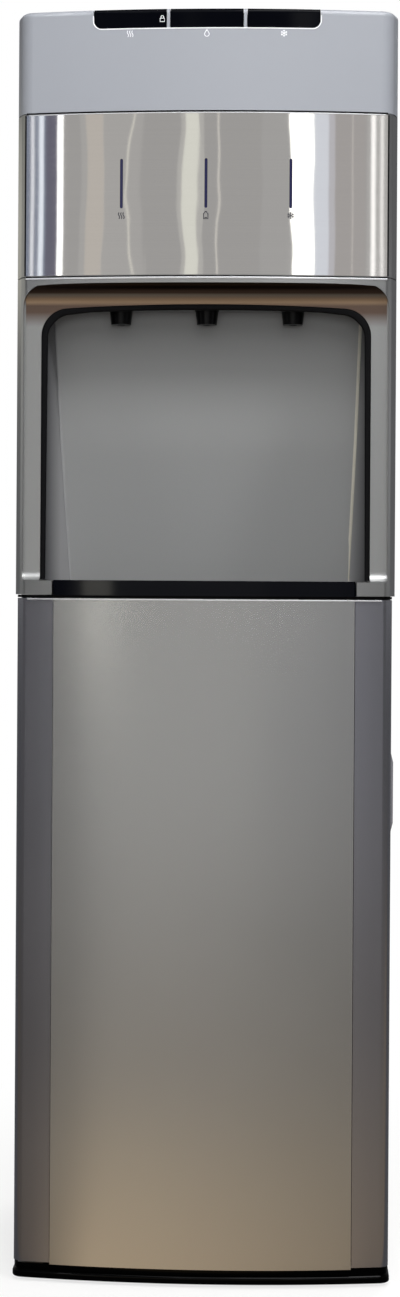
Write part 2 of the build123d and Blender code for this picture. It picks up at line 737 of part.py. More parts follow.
def door_plan(z):
    """Plan of the door behind its skin, with the hinge corner rounded about the pin."""
    with BuildSketch(Plane.XY.offset(z)) as plan:
        add(bowed_plan(z, half_width, stile_inset, door_back_y))
        fillet(plan.vertices().group_by(Axis.Y)[0], stile_corner)
        rear = plan.vertices().group_by(Axis.Y)[-1].sort_by(Axis.X)
        fillet(rear[0], hinge_reach - 0.01)
        fillet(plan.vertices().group_by(Axis.Y)[-1].sort_by(Axis.X)[-1], 3.0)
    return plan.sketch


def stile(side):
    """One hollow upright of the door frame."""
    inner_x, outer_x = side * seam_half, side * (half_width + 5)
    with BuildPart() as upright:
        with BuildSketch(Plane.XY.offset(stile_bottom)) as section:
            add(door_plan(stile_bottom))
            with Locations(((inner_x + outer_x) / 2, apex_y + 20)):
                Rectangle(abs(outer_x - inner_x), 80, mode=Mode.INTERSECT)
            offset(section.sketch, amount=-2.0, kind=Kind.INTERSECTION, mode=Mode.SUBTRACT)
        extrude(amount=stile_top - stile_bottom)
    return upright


door_left_stile = stile(-1)
save(door_left_stile, "door_left_stile")
door_right_stile = stile(1)
save(door_right_stile, "door_right_stile")

skin_thick = 1.0
skin_half = seam_half - 0.5
skin_bottom = door_bottom - 1.0
skin_top = door_top
with BuildPart() as door_skin:
    face = bowed_plan(skin_bottom, skin_half, 0, front_y(skin_half) + 9)
    inside = bowed_plan(skin_bottom, skin_half - skin_thick, skin_thick, front_y(skin_half) + 20)
    extrude(face - inside, amount=skin_top - skin_bottom)
    for end_z in (skin_bottom - 1, stile_top - fit):
        clear = bowed_plan(end_z, half_width, stile_inset - 0.3, door_back_y)
        extrude(clear, amount=stile_bottom + fit - skin_bottom + 1, mode=Mode.SUBTRACT)
save(door_skin, "door_skin")

panel_half = seam_half - fit
with BuildPart() as door_inner_panel:
    block(-panel_half, panel_half, door_back_y - 2, door_back_y, stile_bottom + fit, stile_top - fit)
    rib_half = panel_half - 12
    for share in (0.03, 0.25, 0.5, 0.75):
        rib_z = stile_bottom + share * (stile_top - stile_bottom)
        block(-rib_half, rib_half, door_back_y - 6, door_back_y - 2, rib_z - 1, rib_z + 1)
save(door_inner_panel, "door_inner_panel")


def door_cap(z0, z1, boss_z0, boss_z1):
    """End cap of the door, with a hollow boss for the hinge pin."""
    with BuildPart() as cap:
        extrude(door_plan(z0), amount=z1 - z0)
        rod_z(hinge_x, hinge_y, boss_z0, boss_z1, hinge_reach - 2.4)
        lip = (cap_plate + 6.0) * (1 if boss_z1 > z1 else -1)
        lip_z = (z0, z0 + lip) if lip > 0 else (z1 + lip, z1)
        block(-seam_half + 6, seam_half - 6, door_back_y - 10, door_back_y - 7, *lip_z)
        pin_z = (min(z0, boss_z0) - 1, max(z1, boss_z1) + 1)
        rod_z(hinge_x, hinge_y, *pin_z, pin_radius + pin_fit, Mode.SUBTRACT)
    return cap


door_top_cap = door_cap(stile_top, door_top, stile_top - 14, stile_top)
save(door_top_cap, "door_top_cap")
door_bottom_cap = door_cap(door_bottom, stile_bottom, stile_bottom, stile_bottom + 14)
save(door_bottom_cap, "door_bottom_cap")

# Finger grip on the free edge of the door
grip_z = door_top - 159.0
grip_half = 33.0
grip_proud = 2.0
with BuildPart() as door_grip:
    with BuildSketch(facing_front(door_back_y - 3.2)):
        with BuildLine():
            Polyline(
                (half_width, grip_z - grip_half),
                (half_width + grip_proud, grip_z - grip_half + 8),
                (half_width + grip_proud, grip_z + grip_half - 8),
                (half_width, grip_z + grip_half),
                close=True,
            )
        make_face()
    extrude(amount=6.5)
save(door_grip, "door_grip")

# Hinge plates with riveted pins, above and below the door
with BuildPart() as door_hinges:
    plate_y = (hinge_y - 8, hinge_y + 8)
    upper_z = sill_bottom - 1.8
    block(hinge_x - 7, hinge_x + 14, *plate_y, upper_z, sill_bottom)
    rod_z(hinge_x, hinge_y, door_top - 12, upper_z, pin_radius)
    block(hinge_x - 7, hinge_x + 14, hinge_y - 3, hinge_y + 8, base_top, base_top + 1.6)
    rod_z(hinge_x, hinge_y, base_top + 1.6, door_bottom + 12, pin_radius)
save(door_hinges, "door_hinges")

# Magnet under the deck and its strike plate on the door
magnet_x = (half_width - 77.0, half_width - 37.0)
with BuildPart() as door_magnet:
    magnet_top = deck_top - deck_thick
    block(*magnet_x, cabinet_front_y + 2, cabinet_front_y + 14, magnet_top - 10, magnet_top)
    pole_y = (cabinet_front_y, cabinet_front_y + 2)
    block(magnet_x[0] + 5, magnet_x[1] - 5, *pole_y, deck_top - 10, deck_top - 3)
save(door_magnet, "door_magnet")
with BuildPart() as door_strike:
    strike_z = (stile_top - 10, stile_top - 1)
    block(magnet_x[0] + 3, magnet_x[1] - 3, door_back_y, door_back_y + 1.4, *strike_z)
save(door_strike, "door_strike")

# Cold tank with its foam jacket
foam_wall = 13.2
coil_radius = 4.0
foam_inner = foam_outer - foam_wall
cold_radius = foam_inner - 2 * coil_radius - 0.8
tank_bottom = shelf_z + deck_thick + 13.0
cold_top = body_height - 54.0
foam_top = cold_top + 12.0
tank_skin = 1.0
normal_x = cold_xy[0] - cold_radius * 6 / 7
stub_front_y = cold_xy[1] - foam_outer - 8.0
link_z = water_z + 12.0
link_y = hot_xy[1] - 1.5 * stub_radius
cold_link_x = cold_xy[0] - foam_outer - 3.5
inlet_xy = (cold_xy[0] + 2.0, cold_xy[1] - 32.0)


def outlet_stubs(mode, radius, y_front):
    """Outlets of the cold tank towards the cold and normal valves."""
    for outlet_x in (spout_xs[2], normal_x):
        reach = math.sqrt(cold_radius**2 - (outlet_x - cold_xy[0]) ** 2) - 6
        rod_y(outlet_x, water_z, y_front, cold_xy[1] - reach, radius, mode)


with BuildPart() as cold_tank:
    rod_z(*cold_xy, tank_bottom, cold_top, cold_radius)
    outlet_stubs(Mode.ADD, stub_radius, stub_front_y)
    rod_x(link_y, link_z, cold_link_x, cold_xy[0] - cold_radius + 2, stub_radius)
    rod_z(*inlet_xy, cold_top - 1, foam_top + 14, stub_radius)
    rod_z(*cold_xy, tank_bottom + tank_skin, cold_top - tank_skin, cold_radius - tank_skin, Mode.SUBTRACT)
save(cold_tank, "cold_tank")

with BuildPart() as cold_tank_foam:
    rod_z(*cold_xy, shelf_z + deck_thick, foam_top, foam_outer)
    rod_z(*cold_xy, tank_bottom - fit, cold_top + fit, foam_inner, Mode.SUBTRACT)
    outlet_stubs(Mode.SUBTRACT, stub_radius + 0.3, stub_front_y - 5)
    rod_x(link_y, link_z, cold_link_x - 5, cold_xy[0] - cold_radius + 2, stub_radius + 0.3, Mode.SUBTRACT)
    rod_z(*inlet_xy, cold_top - 1, foam_top + 5, stub_radius + 0.3, Mode.SUBTRACT)
save(cold_tank_foam, "cold_tank_foam")

# Hot tank with its jacket
hot_radius = jacket_outer - 12.0
hot_top = cold_top - 11.0
jacket_top = hot_top + 12.0
hot_stub_y = hot_xy[1] - jacket_outer - 15.0
hot_link_x = hot_xy[0] + jacket_outer + 3.5
with BuildPart() as hot_tank:
    rod_z(*hot_xy, tank_bottom, hot_top, hot_radius)
    hot_reach = math.sqrt(hot_radius**2 - (spout_xs[0] - hot_xy[0]) ** 2) - 6
    rod_y(spout_xs[0], water_z, hot_stub_y, hot_xy[1] - hot_reach, stub_radius)
    rod_x(link_y, link_z, hot_xy[0] + hot_radius - 2, hot_link_x, stub_radius)
    rod_z(*hot_xy, tank_bottom + tank_skin, hot_top - tank_skin, hot_radius - tank_skin, Mode.SUBTRACT)
save(hot_tank, "hot_tank")
with BuildPart() as hot_tank_jacket:
    rod_z(*hot_xy, shelf_z + deck_thick, jacket_top, jacket_outer)
    rod_z(*hot_xy, tank_bottom - fit, hot_top + fit, hot_radius + 0.4, Mode.SUBTRACT)
    rod_y(spout_xs[0], water_z, hot_stub_y - 5, hot_xy[1] - hot_reach, stub_radius + 0.3, Mode.SUBTRACT)
    rod_x(link_y, link_z, hot_xy[0] + hot_radius - 2, hot_link_x + 5, stub_radius + 0.3, Mode.SUBTRACT)
    rod_y(drain_x, drain_z, hot_xy[1] + hot_radius - 3, rear_y, drain_radius + 0.3, Mode.SUBTRACT)
save(hot_tank_jacket, "hot_tank_jacket")

# Drain of the hot tank and its cap, on the back
drain_end_y = rear_skin + 17.0
cap_radius = 10.0
cap_fit = 0.35
with BuildPart() as drain_spigot:
    rod_y(drain_x, drain_z, hot_xy[1] + hot_radius + 0.2, drain_end_y, drain_radius)
    rod_y(drain_x, drain_z, rear_skin, rear_skin + 3, 11)
    rod_y(drain_x, drain_z, hot_xy[1] + hot_radius, drain_end_y + 1, 4, Mode.SUBTRACT)
save(drain_spigot, "drain_spigot")
with BuildPart() as drain_cap:
    cap_y = (rear_skin + 4, drain_end_y + 3)
    rod_y(drain_x, drain_z, *cap_y, cap_radius)
    rod_y(drain_x, drain_z, cap_y[0] - 1, drain_end_y + 0.4, drain_radius + cap_fit, Mode.SUBTRACT)
    for step in range(12):
        angle = math.radians(30 * step)
        groove_x = drain_x + (cap_radius + 0.3) * math.cos(angle)
        groove_z = drain_z + (cap_radius + 0.3) * math.sin(angle)
        rod_y(groove_x, groove_z, cap_y[0] - 1, cap_y[1] + 1, 1.0, Mode.SUBTRACT)
save(drain_cap, "drain_cap")

# Compressor on rubber grommets, behind the alcove
comp_bottom = deck_top + 13.0
comp_top = comp_bottom + 140.0
plate_half = comp_radius + 16.0
grommet_x = comp_radius + 6.0
grommet_y = comp_radius - 10.0
grommet_places = [
    (comp_xy[0] + side * grommet_x, comp_xy[1] + end * grommet_y) for side in (-1, 1) for end in (-1, 1)
]
stub_z = comp_bottom + 59.8
with BuildPart() as compressor:
    rod_z(*comp_xy, comp_bottom, comp_top, comp_radius)
    fillet(compressor.edges().group_by(Axis.Z)[-1], 26)
    comp_x = (comp_xy[0] - plate_half, comp_xy[0] + plate_half)
    block(*comp_x, comp_xy[1] - comp_radius, comp_xy[1] + comp_radius, comp_bottom - 3, comp_bottom)
    relay_x = (comp_xy[0] - comp_radius - 12, comp_xy[0] - comp_radius + 18)
    block(*relay_x, comp_xy[1] - 20, comp_xy[1] + 20, comp_bottom + 20, comp_bottom + 80)
    for port_z in (stub_z, stub_z - 25):
        rod_x(comp_xy[1], port_z, comp_end_x - 3, comp_end_x + 8, 4.5)
    for place in grommet_places:
        rod_z(*place, comp_bottom - 10, comp_bottom + 5, 4.0, Mode.SUBTRACT)
save(compressor, "compressor")
with BuildPart() as compressor_grommets:
    for place in grommet_places:
        rod_z(*place, deck_top, comp_bottom - 3, 9)
        rod_z(*place, comp_bottom - 3, comp_bottom + 3, 3.8)
save(compressor_grommets, "compressor_grommets")

# Pump for the bottle water
pump_z = deck_top + 32.8
pump_y = rear_y - 85.0
pump_x = (comp_end_x + 39.0, half_width - 17.0)
head_x = pump_x[1] - 38.0
with BuildPart() as water_pump:
    block(head_x, pump_x[1], pump_y - 20, pump_y + 20, pump_z - 20, pump_z + 20)
    rod_x(pump_y, pump_z, pump_x[0], head_x + 1, 18)
    block(pump_x[0] + 16, pump_x[1] - 8, pump_y - 14, pump_y + 14, deck_top, pump_z - 10)
    rod_y(hose_x, pump_z, pump_y + 19, pump_y + 32, stub_radius)
    rod_z(hose_x, pump_y, pump_z + 19, pump_z + 34, stub_radius)
save(water_pump, "water_pump")

# Suction probe that goes into the bottle, parked in its clip
probe_top = door_top - 53.0
clip_z = 300.0
probe_radius = 5.5
with BuildPart() as suction_probe:
    rod_z(hose_x, hose_y, floor_top, probe_top, probe_radius)
    rod_z(hose_x, hose_y, probe_top - 1, probe_top + 24, 27)
    fillet(suction_probe.edges().filter_by(GeomType.CIRCLE).group_by(Axis.Z)[-1], 2)
    rod_z(hose_x, hose_y, probe_top + 24, probe_top + 42, stub_radius)
    rod_z(hose_x, hose_y, floor_top + 6, probe_top + 50, 2.5, Mode.SUBTRACT)
    rod_x(hose_y, floor_top + 8, hose_x - 8, hose_x + 8, 2.5, Mode.SUBTRACT)
save(suction_probe, "suction_probe")
with BuildPart() as probe_clip:
    block(hose_x - 9, hose_x + 9, hose_y - 5, rear_y - 4, clip_z - 8, clip_z + 8)
    block(hose_x - 15, hose_x + 15, rear_y - 4, rear_y, clip_z - 14, clip_z + 14)
    rod_z(hose_x, hose_y, clip_z - 20, clip_z + 20, probe_radius + fit, Mode.SUBTRACT)
    block(hose_x - 4.6, hose_x + 4.6, hose_y - 10, hose_y, clip_z - 20, clip_z + 20, Mode.SUBTRACT)
save(probe_clip, "probe_clip")

# Water hoses: suction, feed, three outlets and the link between the tanks
hose_lap = 14.0
hose_size = (hose_radius, hose_bore)
valve_end = spout_y + valve_half + 17 - hose_lap
normal_end = stub_front_y + hose_lap - 5
normal_run = normal_end - valve_end
feed_top = body_height - 18.0
with BuildPart() as water_hoses:
    suction = [
        (hose_x, hose_y, probe_top + 27),
        (hose_x, hose_y, pump_z),
        (hose_x, pump_y + 32 - hose_lap + 3, pump_z),
    ]
    add(pipe(suction, 11, *hose_size))
    feed = [
        (hose_x, pump_y, pump_z + 22),
        (hose_x, pump_y, pump_z + 70),
        (feed_x, feed_y, pump_z + 110),
        (feed_x, feed_y, feed_top),
        (*inlet_xy, feed_top),
        (*inlet_xy, foam_top + 2),
    ]
    add(pipe(feed, 12, *hose_size))
    normal = [
        (0, valve_end, water_z),
        (0, valve_end + 0.34 * normal_run, water_z),
        (normal_x, valve_end + 0.65 * normal_run, water_z),
        (normal_x, normal_end, water_z),
    ]
    add(pipe(normal, 14, *hose_size))
    for outlet_x, outlet_y in ((spout_xs[2], stub_front_y + 4), (spout_xs[0], hot_stub_y + 9)):
        add(pipe([(outlet_x, valve_end, water_z), (outlet_x, outlet_y, water_z)], 0, *hose_size))
    link = [(hot_link_x - 2.2, link_y, link_z), (cold_link_x + 2.7, link_y, link_z)]
    add(pipe(link, 0, hose_radius - 0.5, hose_bore))
save(water_hoses, "water_hoses")

# Condenser: serpentine tube with upright wires, on brackets
tube_radius = 2.5
run_pitch = 44.0
run_count = 14
wire_radius = 0.75
wire_gap = 0.05
wire_count = 25
wire_pitch = 2 * (run_half - 2.0) / (wire_count - 1)
with BuildPart() as condenser_tube:
    with BuildLine() as serpentine:
        for run in range(run_count):
            side = 1 if run % 2 == 0 else -1
            run_z = condenser_top - run * run_pitch
            Line((-side * run_half, condenser_y, run_z), (side * run_half, condenser_y, run_z))
            if run < run_count - 1:
                next_z = run_z - run_pitch
                turn_x = side * (run_half + run_pitch / 2)
                ThreePointArc(
                    (side * run_half, condenser_y, run_z),
                    (turn_x, condenser_y, run_z - run_pitch / 2),
                    (side * run_half, condenser_y, next_z),
                )
    with BuildSketch(Plane(origin=(-run_half, condenser_y, condenser_top), z_dir=(1, 0, 0))):
        Circle(tube_radius)
    sweep(path=serpentine.wires()[0])
save(condenser_tube, "condenser_tube")

condenser_bottom = condenser_top - (run_count - 1) * run_pitch
with BuildPart() as condenser_wires:
    wire_y = condenser_y + tube_radius + wire_radius + wire_gap
    for wire in range(wire_count):
        wire_x = (wire - (wire_count - 1) / 2) * wire_pitch
        rod_z(wire_x, wire_y, condenser_bottom - 14, condenser_top + 14, wire_radius)
save(condenser_wires, "condenser_wires")

bracket_zs = (condenser_top - run_pitch, condenser_bottom + run_pitch)
with BuildPart() as condenser_brackets:
    for bracket_x in (16.0 - run_half, run_half - 16.0):
        for bracket_z in bracket_zs:
            block(bracket_x - 7, bracket_x + 7, rear_skin, rear_skin + 2, bracket_z - 16, bracket_z + 16)
            arm_y = (rear_skin, condenser_y - tube_radius - 0.1)
            block(bracket_x - 4, bracket_x + 4, *arm_y, bracket_z - 6, bracket_z + 6)
save(condenser_brackets, "condenser_brackets")

# Refrigerant pipes, filter drier and the evaporator coil round the cold tank
drier_z = (condenser_bottom + 22.0, condenser_bottom + 102.0)
drier_x = -run_half - 35.0
gas_y = rear_y - 12.0
evaporator_turns = 7
evaporator_pitch = 13.0
evaporator_z = tank_bottom + 42.8
with BuildPart() as refrigerant_pipes:
    hot_gas = [
        (comp_end_x + 8.2, comp_xy[1], stub_z),
        (comp_end_x + 27, comp_xy[1], stub_z),
        (comp_end_x + 27, gas_y, stub_z + 40),
        (discharge_x, gas_y, condenser_top),
        (discharge_x, condenser_y, condenser_top),
        (-run_half - 0.1, condenser_y, condenser_top),
    ]
    add(pipe(hot_gas, 8, pipe_radius))
    drier_in = [(-run_half - 0.1, condenser_y, condenser_bottom), (drier_x, condenser_y, condenser_bottom)]
    add(pipe(drier_in + [(drier_x, condenser_y, drier_z[0] + 1)], 8, tube_radius))
    rod_z(drier_x, condenser_y - 5, *drier_z, 8)
    capillary = [
        (drier_x, condenser_y, drier_z[1] - 1),
        (drier_x, condenser_y, capillary_z - 14),
        (capillary_x, condenser_y, capillary_z),
        (capillary_x, rear_y - 10, capillary_z),
    ]
    add(pipe(capillary, 5, capillary_radius))
    with BuildLine() as winding:
        height = evaporator_turns * evaporator_pitch
        winding_radius = cold_radius + coil_radius + 0.4
        Helix(pitch=evaporator_pitch, height=height, radius=winding_radius, center=(*cold_xy, evaporator_z))
    with BuildSketch(Plane(origin=winding.line @ 0, z_dir=winding.line % 0)):
        Circle(coil_radius)
    sweep(path=winding.line, is_frenet=True)
    back_line = [
        (comp_end_x + 8.2, comp_xy[1], stub_z - 25),
        (comp_end_x + 19, comp_xy[1], stub_z - 25),
        (comp_end_x + 19, comp_xy[1] - 52, stub_z - 10),
        (comp_end_x + 19, comp_xy[1] - 52, shelf_z - 1),
    ]
    add(pipe(back_line, 8, pipe_radius))
save(refrigerant_pipes, "refrigerant_pipes")

# Rocker switches on the back
housing_deep_y = rear_y - 15.0
pivot_y = rear_y - 3.0
rocker_reach = 9.0
rocker_half = 5.0
rocker_tilt = 8.0
pin_r = 1.2
with BuildPart() as switch_housings:
    for rocker_x in rocker_xs:
        rim_x, rim_z = housing_width / 2 + 2, housing_height / 2 + 2
        rim_y = (rear_skin, rear_skin + 1.5)
        block(rocker_x - rim_x, rocker_x + rim_x, *rim_y, rocker_z - rim_z, rocker_z + rim_z)
        box_x, box_z = housing_width / 2 - fit, housing_height / 2 - fit
        box_y = (housing_deep_y, rear_skin)
        block(rocker_x - box_x, rocker_x + box_x, *box_y, rocker_z - box_z, rocker_z + box_z)
        room_x = (rocker_x - rocker_half - 0.3, rocker_x + rocker_half + 0.3)
        room_z = (rocker_z - rocker_reach - 0.4, rocker_z + rocker_reach + 0.4)
        block(*room_x, housing_deep_y + 2, rear_skin + 5, *room_z, Mode.SUBTRACT)
        rod_x(pivot_y, rocker_z, rocker_x - 6.8, rocker_x + 6.8, pin_r + 0.06, Mode.SUBTRACT)
save(switch_housings, "switch_housings")


def rocker(rocker_x):
    """One rocker: two faces in a shallow V, pressed in at its upper half, with a stub axle."""
    with BuildPart() as body:
        with BuildSketch(Plane.YZ.offset(rocker_x - rocker_half)):
            with Locations((pivot_y, rocker_z)):
                Circle(rocker_reach)
            face_y = pivot_y + 5.5
            tip = math.tan(math.radians(rocker_tilt)) * 12
            with BuildLine():
                Polyline(
                    (face_y, rocker_z),
                    (face_y + tip, rocker_z - 12),
                    (pivot_y - 2, rocker_z - 12),
                    (pivot_y - 2, rocker_z + 12),
                    (face_y + tip, rocker_z + 12),
                    close=True,
                )
            make_face(mode=Mode.INTERSECT)
        extrude(amount=2 * rocker_half)
        rod_x(pivot_y, rocker_z, rocker_x - 6.6, rocker_x + 6.6, pin_r)
    turned = body.part.rotate(Axis((0, pivot_y, rocker_z), (1, 0, 0)), rocker_tilt)
    with BuildPart() as posed:
        add(turned)
    return posed


rocker_hot = rocker(rocker_xs[0])
save(rocker_hot, "rocker_hot")
rocker_cold = rocker(rocker_xs[1])
save(rocker_cold, "rocker_cold")

# Power board on posts inside the rear panel
board_x = (half_width - 110.0, half_width - 14.0)
board_z = (gland_z - 108.0, gland_z - 26.0)
board_back_y = rear_y - 12.0
with BuildPart() as power_board:
    block(*board_x, board_back_y, board_back_y + board_thick, *board_z)
    block(board_x[0] + 10, board_x[0] + 45, board_back_y - 28, board_back_y, board_z[0] + 10, board_z[0] + 45)
    for relay in (board_x[0] + 53, board_x[0] + 73):
        block(relay, relay + 14, board_back_y - 16, board_back_y, board_z[0] + 10, board_z[0] + 38)
    rod_y(board_x[0] + 23, board_z[1] - 17, board_back_y - 24, board_back_y, 8)
    for stand_x in (board_x[0] + 5, board_x[1] - 5):
        for stand_z in (board_z[0] + 5, board_z[1] - 5):
            rod_y(stand_x, stand_z, board_back_y + board_thick, rear_y - 0.05, 3)
save(power_board, "power_board")

# Gland for the mains lead
with BuildPart() as cord_gland:
    rod_y(gland_x, gland_z, rear_skin, rear_skin + 5, 12)
    rod_y(gland_x, gland_z, rear_y - 8, rear_skin, gland_radius)
    rod_y(gland_x, gland_z, rear_y - 5, rear_y, 11.5)
    rod_y(gland_x, gland_z, rear_skin + 5, rear_skin + 12, 6.5)
    rod_y(gland_x, gland_z, rear_y - 20, rear_skin + 20, gland_bore, Mode.SUBTRACT)
save(cord_gland, "cord_gland")
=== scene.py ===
# %% [markdown]
# # A bottom-loading water dispenser
# The solids of this machine were made in a CAD program and packed as one model with moving bodies.
# Here that model gets its finishes, its small trim, a studio and a camera. The CAD pieces stay where
# they are: each step either paints one of them or adds a thin piece that sits on it.

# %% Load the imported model
import json
import math
import random

import bmesh
import bpy
from mathutils import Matrix, Vector

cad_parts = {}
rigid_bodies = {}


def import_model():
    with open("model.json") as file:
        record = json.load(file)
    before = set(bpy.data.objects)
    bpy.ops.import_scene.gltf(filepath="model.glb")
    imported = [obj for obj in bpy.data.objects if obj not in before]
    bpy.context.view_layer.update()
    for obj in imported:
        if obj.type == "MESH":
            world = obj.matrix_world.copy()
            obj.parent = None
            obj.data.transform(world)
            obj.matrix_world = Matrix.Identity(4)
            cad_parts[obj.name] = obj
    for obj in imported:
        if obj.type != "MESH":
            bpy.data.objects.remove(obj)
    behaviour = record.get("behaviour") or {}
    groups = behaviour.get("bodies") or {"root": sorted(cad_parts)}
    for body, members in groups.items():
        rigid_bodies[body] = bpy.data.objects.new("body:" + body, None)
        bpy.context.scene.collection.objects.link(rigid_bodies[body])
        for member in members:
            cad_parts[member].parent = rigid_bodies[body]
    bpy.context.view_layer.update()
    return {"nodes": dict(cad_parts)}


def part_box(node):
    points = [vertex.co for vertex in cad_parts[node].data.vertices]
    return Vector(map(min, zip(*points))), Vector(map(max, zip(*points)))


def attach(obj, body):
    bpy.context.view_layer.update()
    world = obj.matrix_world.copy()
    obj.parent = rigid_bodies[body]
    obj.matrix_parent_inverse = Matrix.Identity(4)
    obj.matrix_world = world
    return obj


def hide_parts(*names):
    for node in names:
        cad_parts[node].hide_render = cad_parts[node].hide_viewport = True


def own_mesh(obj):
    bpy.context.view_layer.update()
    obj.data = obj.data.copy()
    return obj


for leftover in list(bpy.data.objects):
    bpy.data.objects.remove(leftover)
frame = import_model()
MM = 0.001

# %% [markdown]
# ## The camera
# The photograph was taken from about two metres, a little right of the middle, with the camera level at
# the height of the drip tray. A level camera keeps the sides upright, so the frame is slid down with the
# lens shift instead of tilting the camera. The small roll matches
# the slight lean of the machine in the photograph.

# %% Camera
frame_columns, frame_rows = 400, 1297
focal_rows = 2565.4
eye = Vector((0.0638, -2.280, 0.5735))
turn_left, roll = math.radians(2.63), math.radians(0.355)
principal = (163.6, 588.5)

camera_data = bpy.data.cameras.new("studio_camera")
camera_data.sensor_width = 36.0
camera_data.lens = camera_data.sensor_width * focal_rows / frame_rows
camera_data.shift_x = (frame_columns / 2 - principal[0]) / frame_rows
camera_data.shift_y = (principal[1] - frame_rows / 2) / frame_rows
camera = bpy.data.objects.new("studio_camera", camera_data)
bpy.context.scene.collection.objects.link(camera)
upright = Matrix.Rotation(turn_left, 4, "Z") @ Matrix.Rotation(math.pi / 2, 4, "X")
camera.matrix_world = Matrix.Translation(eye) @ upright @ Matrix.Rotation(roll, 4, "Z")
bpy.context.scene.camera = camera
bpy.context.scene.view_settings.view_transform = "Standard"
print("lens", round(camera_data.lens, 1), "mm, shift", round(camera_data.shift_x, 3), round(camera_data.shift_y, 3))

# %% [markdown]
# ## Finishes
# Every finish starts from one Principled shader. Its even values go straight onto the shader's sockets.
# What varies over the surface, such as grain, brushing or flakes, comes from noise that is laid out in
# the object's own metres, so the grain has a real size and needs no unwrapping.


# %% Colours and shaders
def linear(r, g, b):
    """Screen colour (0 to 255) as the linear colour that a shader takes."""
    def one(c):
        c = c / 255
        return c / 12.92 if c <= 0.04045 else ((c + 0.055) / 1.055) ** 2.4
    return (one(r), one(g), one(b), 1.0)


def shade(colour, factor):
    """A darker or lighter tone of a colour."""
    return tuple(min(c * factor, 1.0) for c in colour[:3]) + (1.0,)


def set_even(node, values):
    """Put even values straight onto a node's sockets."""
    for socket, value in values.items():
        node.inputs[socket].default_value = value


def new_finish(name, colour, rough, metal=0.0, coat=0.0, gloss=0.5):
    """A material with a Principled shader and its even values set."""
    made = bpy.data.materials.new(name)
    made.use_nodes = True
    shader = made.node_tree.nodes["Principled BSDF"]
    set_even(shader, {"Base Color": colour, "Roughness": rough, "Metallic": metal})
    set_even(shader, {"Coat Weight": coat, "Coat Roughness": 0.12, "Specular IOR Level": gloss})
    return made, shader


print("middle grey in linear light:", round(linear(128, 128, 128)[0], 3))


# %% Patterns
def add_node(tree, kind, values, links):
    """A shader node with even values on some sockets and links to others."""
    made = tree.nodes.new("ShaderNode" + kind)
    set_even(made, values)
    for socket, source in links.items():
        tree.links.new(source, made.inputs[socket])
    return made


def place(tree, stretch=(1, 1, 1)):
    """Object coordinates, stretched."""
    where = tree.nodes.new("ShaderNodeTexCoord").outputs["Object"]
    return add_node(tree, "Mapping", {"Scale": stretch}, {"Vector": where}).outputs["Vector"]


def noise(tree, vector, scale, detail=3.0, rough=0.55):
    """Grey noise of a given number of features per metre."""
    values = {"Scale": scale, "Detail": detail, "Roughness": rough}
    return add_node(tree, "TexNoise", values, {"Vector": vector}).outputs["Fac"]


def ramp(tree, factor, low, high, from_low=0.3, from_high=0.7):
    """Spread one range of a grey value over another."""
    values = {"From Min": from_low, "From Max": from_high, "To Min": low, "To Max": high}
    return add_node(tree, "MapRange", values, {"Value": factor}).outputs["Result"]


def over(tree, factor, below, tone):
    """Lay a tone over another, which may vary itself, where the factor is high."""
    made = tree.nodes.new("ShaderNodeMix")
    made.data_type = "RGBA"
    made.inputs["B"].default_value = tone
    tree.links.new(factor, made.inputs["Factor"])
    if isinstance(below, tuple):
        made.inputs["A"].default_value = below
    else:
        tree.links.new(below, made.inputs["A"])
    return made.outputs["Result"]


def bump(tree, shader, height, strength, distance, under=None):
    """Fine relief from a grey value, on top of a broader relief if one is given."""
    links = {"Height": height, "Normal": under} if under else {"Height": height}
    made = add_node(tree, "Bump", {"Strength": strength, "Distance": distance}, links)
    tree.links.new(made.outputs["Normal"], shader.inputs["Normal"])
    return made.outputs["Normal"]


print("helpers for grain, tones and relief are ready")


# %% Sums and parts
def math_node(tree, operation, first, second=None):
    """One sum on grey values."""
    made = tree.nodes.new("ShaderNodeMath")
    made.operation = operation
    for socket, value in zip(made.inputs, (first, second)):
        if isinstance(value, float):
            socket.default_value = value
        elif value:
            tree.links.new(value, socket)
    return made.outputs["Value"]


def parts_of(tree, output):
    """The x, y and z of a texture coordinate."""
    where, split = tree.nodes.new("ShaderNodeTexCoord"), tree.nodes.new("ShaderNodeSeparateXYZ")
    tree.links.new(where.outputs[output], split.inputs["Vector"])
    return split.outputs


print("helpers for sums and parts are ready")

# %% [markdown]
# ### Moulded plastic
# Injection-moulded plastic is never one flat tone: the tool leaves a fine grain, and handling leaves
# duller and shinier areas. Two noises do that, a fine one for the grain and a broad one for the sheen.


# %% Moulded plastic
def moulded(name, colour, rough, grain=900.0, relief=0.08, spread=0.05, coat=0.0, gloss=0.5):
    """Plastic with a fine tool grain and uneven sheen."""
    made, shader = new_finish(name, colour, rough, coat=coat, gloss=gloss)
    tree = made.node_tree
    here = place(tree)
    fine, broad = noise(tree, here, grain), noise(tree, here, 9.0, 4.0)
    tone = over(tree, broad, shade(colour, 1 - spread), shade(colour, 1 + spread))
    tree.links.new(tone, shader.inputs["Base Color"])
    tree.links.new(ramp(tree, broad, rough * 0.85, rough * 1.15), shader.inputs["Roughness"])
    bump(tree, shader, fine, relief, 0.0002)
    return made


